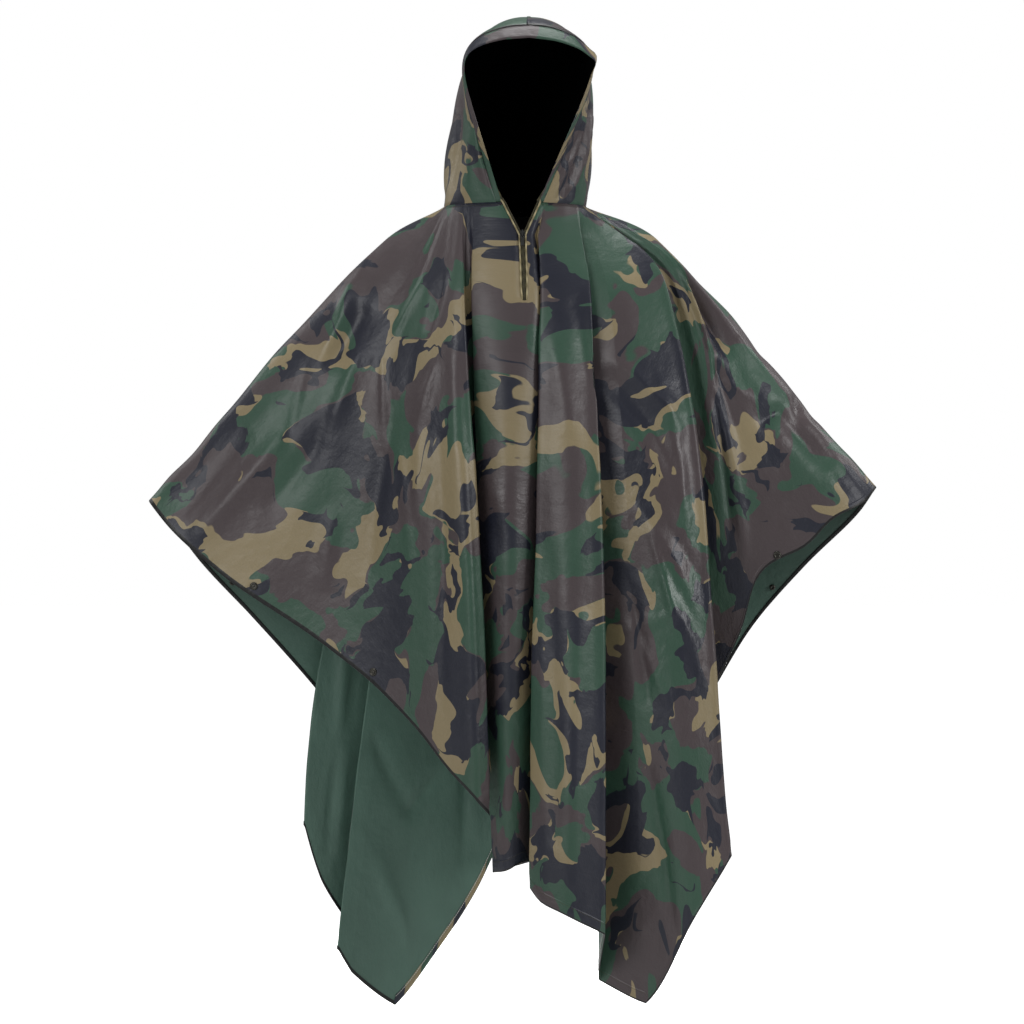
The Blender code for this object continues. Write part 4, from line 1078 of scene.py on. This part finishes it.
# spots are the place among the ribs, and the way from the neck seam to the centre seam
LEFT_HOOD_CREASES = (
    ((2.20, 0.44), (2.65, 0.10), 16, -3.6, 0, 0.2),
    ((1.12, 0.30), (1.12, 0.04), 6, 1.8, 0, 0.6),
    ((1.50, 0.32), (1.90, 0.06), 12, 2.4, 0, 0.4),
    ((1.70, 0.58), (2.80, 0.72), 14, 2.2, 0, 0.4),
    ((3.20, 0.08), (3.30, 0.40), 14, 2.8, 0, 0.3),
    ((3.90, 0.06), (4.30, 0.50), 15, -3.0, 3, 0.3),
    ((2.60, 0.66), (4.10, 0.62), 16, -3.0, 4, 0.2),
    ((5.00, 0.20), (5.30, 0.60), 13, 2.2, 0, 0.3),
)
RIGHT_HOOD_CREASES = (
    ((2.28, 0.45), (1.85, 0.10), 7, -4.0, 2, 0.7),
    ((1.85, 0.42), (1.45, 0.13), 7, 3.0, 2, 0.7),
    ((2.65, 0.40), (2.25, 0.08), 8, 2.6, 0, 0.7),
    ((1.22, 0.22), (1.45, 0.07), 5, 1.8, 0, 0.8),
    ((1.30, 0.02), (1.36, 0.08), 4, 1.2, 0, 0.6),
    ((1.52, 0.02), (1.54, 0.08), 4, -1.2, 0, 0.6),
    ((1.74, 0.02), (1.70, 0.09), 4, 1.2, 0, 0.6),
    ((1.98, 0.02), (1.95, 0.08), 4, -1.2, 0, 0.6),
    ((1.50, 0.58), (2.50, 0.70), 12, 2.4, 0, 0.5),
    ((2.60, 0.66), (4.10, 0.62), 16, -3.0, 4, 0.2),
    ((3.40, 0.08), (3.50, 0.40), 12, 2.6, 0, 0.4),
    ((4.30, 0.10), (4.50, 0.50), 15, -3.0, 3, 0.3),
)
HOOD_PRINT_START = {-1: (-0.5, 0.45), 1: (1.1, 0.45)}
HOOD_CALM = {"neck": 0.04, "centre": 0.05, "face": 0.15, "nape": 1.5}
HOOD_SEED = {-1: 4.0, 1: 6.0}
HOOD_WRINKLES = 0.7
HOOD_CRUSHED = {-1: 0.2, 1: 0.38}
# painted shade: the hood's coated inside is painted near black and nearly unreflecting, standing in for the
# shade inside the hood
HOOD_PAINTED_SHADE = (0.0025, 0.003, 0.003, 1)

hood_face = print_material("hood_print")
hood_painted_shade_lining = coating_material("hood_coating", HOOD_PAINTED_SHADE, gloss=0.9, level=0.02)
finishes = (hood_face, hood_painted_shade_lining)
inner_positions = np.linspace(1, RIB_END, (RIB_END - 1) * RIB_COLUMN_STEPS + 1)[1:-1]
hood_positions = np.concatenate(((1 + BAND_PARTING,), inner_positions, (RIB_END - NAPE_PARTING,)))
calm = fade_in(RIB_SHARES, HOOD_CALM["neck"]) * fade_in(1 - RIB_SHARES, HOOD_CALM["centre"])
calm = calm[:, None] * fade_in(hood_positions - 1, HOOD_CALM["face"])
calm *= fade_in(RIB_END - hood_positions, HOOD_CALM["nape"])
hood_sides = {}
for side, name, creases in ((-1, "hood_left", LEFT_HOOD_CREASES), (1, "hood_right", RIGHT_HOOD_CREASES)):
    grid = hood_sheet(side, hood_positions)
    flat = flat_hood(grid, HOOD_PRINT_START[side])
    relief = crease_relief(flat, creases, spot_finder(flat, hood_positions, RIB_SHARES))
    relief += wrinkle_relief(flat, np.ones(flat.shape[:2]), HOOD_SEED[side]) * HOOD_WRINKLES
    grid = grid + surface_normals(grid, -side) * (relief * calm)[..., None]
    seam_line = np.linalg.norm(grid - grid[:, :1], axis=2) * BRIM_SPREAD
    seam_line += fade_in(BRIM_FROM - RIB_SHARES, BRIM_FADE)[:, None]
    grid = with_allowance(grid)
    seam_line = np.pad(seam_line, ((len(ALLOWANCE), 0), (0, 0)), "edge")
    if side > 0:
        grid = np.concatenate((grid, lap(hood_sides[-1])))
        seam_line = np.pad(seam_line, ((0, len(FELL)), (0, 0)), "edge")
    hood_sides[side] = grid
    flat = flat_hood(grid, HOOD_PRINT_START[side])
    crinkled = np.full(grid.shape[:2], HOOD_CRUSHED[side])
    values = (surface_normals(grid, -side), flat, seam_line, crinkled, seam_line / BRIM_WIDTH[side])
    piece = cloth_piece(name, grid, *values, finishes, HOOD_WALL, flip=side > 0)
    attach(piece, "poncho")
    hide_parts(name + "_panel")

BAND_COLUMNS = 6
BAND_TUCK = (1.03, 1.09)
BAND_SINK = 1.3 * MM
BAND_PRINT_START = (5.2, 0.35)
BAND_CRUSHED = 0.12

band_positions = np.concatenate((np.linspace(0, 1 - BAND_PARTING, BAND_COLUMNS), BAND_TUCK))
left, right = (hood_sheet(side, band_positions) for side in (-1, 1))
grid = np.concatenate((left[:-1], [(left[-1] + right[-1]) / 2], right[-2::-1]))
grid[:, -2:] -= surface_normals(grid, 1)[:, -2:] * BAND_SINK
flat = flat_hood(grid, BAND_PRINT_START)
ones = np.ones(grid.shape[:2])
values = (surface_normals(grid, 1), flat, ones, ones * BAND_CRUSHED, ones)
face_band = cloth_piece("hood_band", grid, *values, finishes, HOOD_WALL)
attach(face_band, "poncho")
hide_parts("hood_face_band")

# ------------------------------------------------------------------ zip tapes and lips
# A woven olive tape down each side of the neck slit, with a folded cream lip over the slit's edge. They run
# up the hood's face edge, are sewn in under the lips, and end together at the bottom of the slit.

TAPE_TOP = 22 * MM
TAPE_FOOT = 1.5 * MM  # the part on the hood's face edge starts this far above the neck seam
TAPE_WIDTH = 3.8 * MM
TAPE_UNDER = 8.6 * MM
TAPE_WALL = 0.6 * MM
TAPE_SINK = 0.5 * MM
TAPE_BEHIND = 2.0 * MM
TAPE_TUCK = 1.2 * MM
TAPE_NARROWEST = 0.12
CHAIN_HALF = 0.7 * MM
CHAIN_SHARE = 0.35
CHAIN_LIFT = 0.1 * MM
LIP_HALF_WIDTH = 1.25 * MM
LIP_HALF_WALL = 0.95 * MM
LIP_SIDES = 10
LIP_FACET = 0.8 * MM
LIP_STEP = 1.5 * MM
LIP_TOP = 5 * MM
LIP_TAPER = 2.5  # steps at each end over which the lip narrows
LIP_LEAST = 0.05
FORWARD = np.array((0.0, -1.0, 0.0))
TAPE_OLIVE = (0.085, 0.078, 0.040, 1)
TAPE_SHADE = (0.035, 0.034, 0.020, 1)
LIP_CREAM = (0.43, 0.37, 0.22, 1)
LIP_SHADE = (0.24, 0.20, 0.11, 1)
WEAR_NOISE = (60.0, 4.0)
WORN_TONES = (0.82, 1.15)
WEAR_MIDDLE = (0.35, 0.65)
RIB_BUMP = (0.0002, 0.6)


def even_steps(points, pitch):
    return evenly(points, max(2, round(way_along(points)[-1] / pitch)))


def slit_edge_path(side):
    """The slit's edge on one side, from the hood's face edge down, and the way from it into the cloth."""
    face, deeper = np.moveaxis(hood_sheet(side, np.array([0.0, 1.0])), 1, 0)
    above = (face[:, 2] < TAPE_TOP) & (face[:, 2] > TAPE_FOOT)
    rows = LEVELS <= SLIT_LEVEL
    column = slit_column + (0 if side < 0 else 1)
    edge = np.vstack((face[above][::-1], front_grid[rows, column]))
    return edge, unit_rows(np.vstack((deeper[above][::-1], front_grid[rows, column + side])) - edge)


def woven_material(name, colour, dark, per_metre):
    """Narrow woven tape or twisted thread: slanting ribs, a little worn."""
    shading = Shading(name)
    place = shading.on_cloth()
    rib = shading.waves(place, per_metre, "DIAGONAL")
    worn = shading.ramp(shading.noise(place, *WEAR_NOISE), *WEAR_MIDDLE, *WORN_TONES)
    # painted shade: the grooves between the ribs take the darker colour
    toned = shading.vector("SCALE", {0: shading.over(rib, dark, colour), "Scale": worn})
    shading.link(toned, shading.shader.inputs["Base Color"])
    shading.link(shading.bump(rib, *RIB_BUMP), shading.shader.inputs["Normal"])
    return shading.finish(Roughness=0.8, Specular_IOR_Level=0.25)


def ring_faces(rings, sides):
    """Faces of a tube of rings, closed at its first ring."""
    faces = [tuple(range(sides))]
    for ring in range(rings - 1):
        for n in range(sides):
            a, b = ring * sides + n, ring * sides + (n + 1) % sides
            faces.append((a, a + sides, b + sides, b))
    return faces


def lip_piece(name, path, finish):
    """A closed lip along a path: an oval section that narrows at both ends."""
    run = unit_rows(np.gradient(path, axis=0))
    across = unit_rows(np.cross(run, FORWARD))
    out = np.cross(across, run)
    count = len(path)
    share = np.arange(count) / (count - 1)
    full = np.sqrt(np.clip(np.minimum(share, 1 - share) * count / LIP_TAPER, LIP_LEAST, 1))[:, None]
    rings = []
    for turn in np.arange(LIP_SIDES) * 2 * math.pi / LIP_SIDES:
        rim = across * LIP_HALF_WIDTH * math.cos(turn) + out * LIP_HALF_WALL * math.sin(turn)
        rings.append(path + rim * full)
    last = tuple(reversed(range((count - 1) * LIP_SIDES, count * LIP_SIDES)))
    faces = ring_faces(count, LIP_SIDES) + [last]
    mesh = bpy.data.meshes.new(name)
    mesh.from_pydata(np.stack(rings, axis=1).reshape(-1, 3).tolist(), [], faces)
    way = way_along(path)
    layer = mesh.uv_layers.new(name=CLOTH_MAP)
    for loop in mesh.loops:
        ring, side = divmod(loop.vertex_index, LIP_SIDES)
        layer.data[loop.index].uv = (abs(side - LIP_SIDES / 2) * LIP_FACET, way[ring])
    mesh.materials.append(finish)
    mesh.polygons.foreach_set("use_smooth", [True] * len(faces))
    mended(mesh, outwards=True)
    return placed(name, mesh)


tape_weave = woven_material("tape_weave", TAPE_OLIVE, TAPE_SHADE, per_metre=900)
lip_weave = woven_material("lip_weave", LIP_CREAM, LIP_SHADE, per_metre=700)
edges = {side: slit_edge_path(side) for side in (-1, 1)}
chains = {}
for side, name in ((-1, "left"), (1, "right")):
    (edge, under), (far, _) = edges[side], edges[-side]
    toward = unit_rows(far - edge)
    room = np.linalg.norm(far - edge, axis=1)[:, None] / 2 - CHAIN_HALF
    taper = np.clip((TAPE_TOP - edge[:, 2]) / (TAPE_TOP - LIP_TOP), TAPE_NARROWEST, 1)[:, None]
    width = np.minimum(room, TAPE_WIDTH * taper)
    back = edge - FORWARD * TAPE_SINK
    hidden = [edge + under * TAPE_UNDER * share - FORWARD * TAPE_BEHIND for share in (1, 0.5)]
    columns = hidden + [back - toward * TAPE_TUCK, back + toward * width * 0.5, back + toward * width]
    grid = np.stack(columns if side < 0 else columns[::-1], axis=1)
    ones = np.ones(grid.shape[:2])
    values = (surface_normals(grid, 1), flat_hood(grid, (0, 0)), ones, ones, ones)
    tape = cloth_piece("woven_tape_" + name, grid, *values, (tape_weave, tape_weave), TAPE_WALL)
    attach(tape, "poncho")
    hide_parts("zip_tape_" + name)
    beside_lip = edge[:, 2] < LIP_TOP
    lip = lip_piece("zip_lip_" + name, even_steps(edge[beside_lip], LIP_STEP), lip_weave)
    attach(lip, "poncho")
    chains[side] = (back + toward * (width + CHAIN_HALF * CHAIN_SHARE) + FORWARD * CHAIN_LIFT)[beside_lip]

# ------------------------------------------------------------------ zip teeth
# Small moulded teeth along the inner edge of each tape: apart above the slider, and locked together in
# turn below it.

TOOTH_PITCH = 1.7 * MM
TOOTH_SIZE = (1.5 * MM, 1.6 * MM, 0.75 * MM)
TOOTH_OLIVE = (0.075, 0.066, 0.038, 1)
SHAPE_NODES = {"tooth": ("GeometryNodeMeshCube",), "stitch": ("GeometryNodeMeshIcoSphere", {"Radius": 0.5})}
SHAPES_FACING = (0, 1, 0)
MOTTLE_NOISE = (900.0, 4.0, 0.6)
MOTTLE_BUMP = (0.00005, 0.3)
MOTTLE_PALE = 1.6
MOTTLE_DEEP = 0.7
RUB_NOISE = (350.0, 3.0)
RUBBED = 0.1


def finished_mesh(piece):
    """A new mesh of the piece with its modifiers worked out."""
    bpy.context.view_layer.update()
    return bpy.data.meshes.new_from_object(piece.evaluated_get(bpy.context.evaluated_depsgraph_get()))


def repeat_tree(name, kind, finish):
    """Nodes that set small like shapes at an even pitch along paths, turned to them."""
    nodes = Nodes(bpy.data.node_groups.new(name, "GeometryNodeTree"))
    for socket, sort in (("Paths", "Geometry"), ("Pitch", "Float"), ("Size", "Vector")):
        nodes.tree.interface.new_socket(socket, in_out="INPUT", socket_type="NodeSocket" + sort)
    nodes.tree.interface.new_socket("Shapes", in_out="OUTPUT", socket_type="NodeSocketGeometry")
    given = nodes.add("NodeGroupInput").outputs
    curve = nodes.add("GeometryNodeMeshToCurve", {0: given["Paths"]}).outputs[0]
    values = {0: curve, "Length": given["Pitch"]}
    points = nodes.add("GeometryNodeCurveToPoints", values, mode="LENGTH").outputs
    align = "FunctionNodeAlignRotationToVector"
    along = nodes.add(align, {"Vector": points["Tangent"]}, axis="Z").outputs[0]
    values = {"Vector": SHAPES_FACING, "Rotation": along}
    turned = nodes.add(align, values, axis="Y", pivot_axis="Z").outputs[0]
    values = {"Points": points["Points"], "Instance": nodes.add(*SHAPE_NODES[kind]).outputs["Mesh"]}
    values.update({"Rotation": turned, "Scale": given["Size"]})
    copies = nodes.add("GeometryNodeInstanceOnPoints", values).outputs[0]
    real = nodes.add("GeometryNodeRealizeInstances", {0: copies}).outputs[0]
    coated = nodes.add("GeometryNodeSetMaterial", {"Geometry": real, "Material": finish}).outputs[0]
    nodes.add("NodeGroupOutput", {0: coated})
    return nodes.tree


def set_along(name, paths, pitch, size, kind, finish):
    """One mesh of small like shapes, set at an even pitch along the paths and turned to them."""
    verts, lines = [], []
    for path in paths:
        lines += [(len(verts) + n, len(verts) + n + 1) for n in range(len(path) - 1)]
        verts += path.tolist()
    guide_mesh = bpy.data.meshes.new(name + "_paths")
    guide_mesh.from_pydata(verts, lines, [])
    guide = placed(name + "_paths", guide_mesh)
    repeat = guide.modifiers.new(name, "NODES")
    repeat.node_group = repeat_tree(name, kind, finish)
    sockets = repeat.node_group.interface.items_tree
    repeat[sockets["Pitch"].identifier] = pitch
    repeat[sockets["Size"].identifier] = size
    shapes = finished_mesh(guide)
    bpy.data.objects.remove(guide, do_unlink=True)
    shapes.name = name
    return placed(name, shapes)


def moulded_material(name, colour, roughness, metallic=0.0):
    """Cast metal or moulded resin: a mottled colour with rubbed, smoother places."""
    shading = Shading(name)
    place = shading.add("ShaderNodeTexCoord").outputs["Object"]
    mottle = shading.noise(place, *MOTTLE_NOISE)
    mottled = shading.over(mottle, tinted(colour, MOTTLE_DEEP), tinted(colour, MOTTLE_PALE))
    shading.link(mottled, shading.shader.inputs["Base Color"])
    rubbed = shading.noise(place, *RUB_NOISE)
    rough = shading.ramp(rubbed, *WEAR_MIDDLE, roughness - RUBBED, roughness + RUBBED)
    shading.link(rough, shading.shader.inputs["Roughness"])
    shading.link(shading.bump(mottle, *MOTTLE_BUMP), shading.shader.inputs["Normal"])
    return shading.finish(Metallic=metallic, Specular_IOR_Level=0.5)


tooth_resin = moulded_material("tooth_resin", TOOTH_OLIVE, roughness=0.45)
left_row = even_steps(chains[-1], TOOTH_PITCH / 2)
right_row = even_steps(chains[1], TOOTH_PITCH / 2)[1:]
teeth = set_along("zip_teeth", (left_row, right_row), TOOTH_PITCH, TOOTH_SIZE, "tooth", tooth_resin)
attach(teeth, "poncho")

# ------------------------------------------------------------------ zip slider and pull tab
# A die-cast slider with rounded edges, painted dark, and the flat tab that swings on its bridge.

SLIDER_BEVEL = 0.35 * MM
BEVEL_STEPS = 2
FLAT_ANGLE = math.radians(4)
ZIP_GREY = (0.055, 0.056, 0.054, 1)

zip_metal = moulded_material("zip_paint", ZIP_GREY, roughness=0.38, metallic=0.85)
for node, name, body in (("zip_slider", "slider", "poncho"), ("zip_pull_tab", "pull_tab_metal", "pull_tab")):
    mesh = bpy.data.meshes.new(name)
    mended(mesh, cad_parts[node].data, FLAT_ANGLE)
    mesh.materials.clear()
    mesh.materials.append(zip_metal)
    piece = placed(name, mesh)
    piece.matrix_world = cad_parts[node].matrix_world
    rounding = piece.modifiers.new("rounding", "BEVEL")
    rounding.width = SLIDER_BEVEL
    rounding.segments = BEVEL_STEPS
    rounding.limit_method = "ANGLE"
    rounded = finished_mesh(piece)
    piece.modifiers.clear()
    piece.data = rounded
    rounded.polygons.foreach_set("use_smooth", [False] * len(rounded.polygons))
    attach(piece, body)
    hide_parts(node)

# ------------------------------------------------------------------ snap buttons
# Pressed brass snaps, dark plated: a dished cap on the cloth's face and a socket on its back, set through
# the double hem, two on each half of the front and two on each half of the back.

CAP_PROFILE = (  # radius and height of each turned ring, in millimetres
    *((6.0, 0.0), (6.0, 0.7), (5.7, 1.35), (5.1, 1.8), (4.4, 1.95)),
    *((3.8, 1.8), (3.4, 1.4), (3.0, 1.3), (1.5, 1.45), (0, 1.5)),
)
STUD_PROFILE = (
    *((4.4, 0.0), (4.4, 0.7), (4.1, 1.0), (3.5, 1.1), (3.2, 2.1)),
    *((2.8, 2.4), (2.3, 2.2), (2.1, 0.9), (1.0, 0.8), (0, 0.8)),
)
SNAP_SIDES = 32
SNAP_DARK = (0.050, 0.048, 0.042, 1)
BEHIND_HEM = 2 * HEM_TURN + CLOTH_WALL
SNAP_PLACES = ("front_left_upper", "front_left_lower", "front_right_upper", "front_right_lower")
SNAP_PLACES += ("back_left_upper", "back_left_lower", "back_right_upper", "back_right_lower")


def turned_button(profile, place, axis):
    """Rings of one turned button, standing on a place along an axis."""
    side = unit_rows(np.cross(axis, (0.0, 0.0, 1.0)))
    other = np.cross(axis, side)
    verts = []
    for radius, height in profile:
        for turn in np.arange(SNAP_SIDES) * 2 * math.pi / SNAP_SIDES:
            reach = side * math.cos(turn) + other * math.sin(turn)
            verts.append(place + reach * radius * MM + axis * height * MM)
    return verts


def spot_on_cloth(place, grid, normals):
    """The place moved straight on to the cloth's face, and the way the face looks there."""
    nearest = np.unravel_index(np.argmin(np.linalg.norm(grid - place, axis=2)), grid.shape[:2])
    axis = unit_rows(normals[nearest])
    return place - axis * ((place - grid[nearest]) @ axis), axis


snap_plate = moulded_material("snap_plate", SNAP_DARK, roughness=0.35, metallic=0.9)
verts, faces = [], []
for spot in SNAP_PLACES:
    low, high = (np.array(c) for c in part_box("snap_cap_" + spot))
    grid, normals = (front_grid, front_normals) if spot.startswith("front") else (back_grid, back_normals)
    place, axis = spot_on_cloth((low + high) / 2, grid, normals)
    for profile, foot, way in ((CAP_PROFILE, place, axis), (STUD_PROFILE, place - axis * BEHIND_HEM, -axis)):
        faces += [tuple(v + len(verts) for v in face) for face in ring_faces(len(profile), SNAP_SIDES)]
        verts += turned_button(profile, foot, way)
mesh = bpy.data.meshes.new("snap_buttons")
mesh.from_pydata([tuple(v) for v in verts], [], faces)
mesh.materials.append(snap_plate)
mended(mesh, outwards=True)
mesh.polygons.foreach_set("use_smooth", [len(p.vertices) < SNAP_SIDES for p in mesh.polygons])
snaps = placed("snap_buttons", mesh)
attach(snaps, "poncho")
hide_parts(*["snap_" + part + "_" + spot for spot in SNAP_PLACES for part in ("cap", "stud")])

# ------------------------------------------------------------------ stitches
# Lock stitch along both hems and round the neck just below its seam: olive thread on the face, and a pale
# one on the hems' backs.

STITCH_PITCH = 3.6 * MM
STITCH_SIZE = (0.55 * MM, 0.45 * MM, 2.7 * MM)
STITCH_LIFT = 0.12 * MM
HEM_STITCH = 14 * MM
BACK_STITCH_SIZE = (1.2 * MM, 0.7 * MM, 3.4 * MM)
NECK_STITCH = 4 * MM
LINE_STEP = 3 * MM
THREAD_OLIVE = (0.16, 0.145, 0.085, 1)
THREAD_OLIVE_SHADE = (0.09, 0.082, 0.05, 1)
THREAD_PALE = (0.80, 0.83, 0.78, 1)
THREAD_PALE_SHADE = (0.55, 0.57, 0.53, 1)


def stitch_line(cloth, part, at, lift):
    grid, normals, reach = (values[:, part] for values in cloth)
    line = down_the_cloth(grid, reach, at[part])
    facing = unit_rows(down_the_cloth(normals, reach, at[part]))
    return even_steps(line + facing * lift, LINE_STEP)


face_paths, back_paths = [], []
for cloth, bound, parts in (
    ((front_grid, front_normals, front_reach), front_bound, front_sides),
    ((back_grid, back_normals, back_reach), back_bound, (slice(None),)),
):
    reach = cloth[2]
    hem = slice(int(np.argmin(bound)), len(bound) - int(np.argmin(bound[::-1])))
    face_paths.append(stitch_line(cloth, hem, reach[-1] - HEM_STITCH, STITCH_LIFT))
    back_paths.append(stitch_line(cloth, hem, reach[-1] - HEM_STITCH, -(BEHIND_HEM + STITCH_LIFT)))
    face_paths += [stitch_line(cloth, part, reach[0] + NECK_STITCH, STITCH_LIFT) for part in parts]
olive_thread = woven_material("olive_thread", THREAD_OLIVE, THREAD_OLIVE_SHADE, per_metre=2500)
pale_thread = woven_material("pale_thread", THREAD_PALE, THREAD_PALE_SHADE, per_metre=2500)
for name, paths, size, thread in (
    ("face_stitches", face_paths, STITCH_SIZE, olive_thread),
    ("hem_back_stitches", back_paths, BACK_STITCH_SIZE, pale_thread),
):
    stitches = set_along(name, paths, STITCH_PITCH, size, "stitch", thread)
    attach(stitches, "poncho")
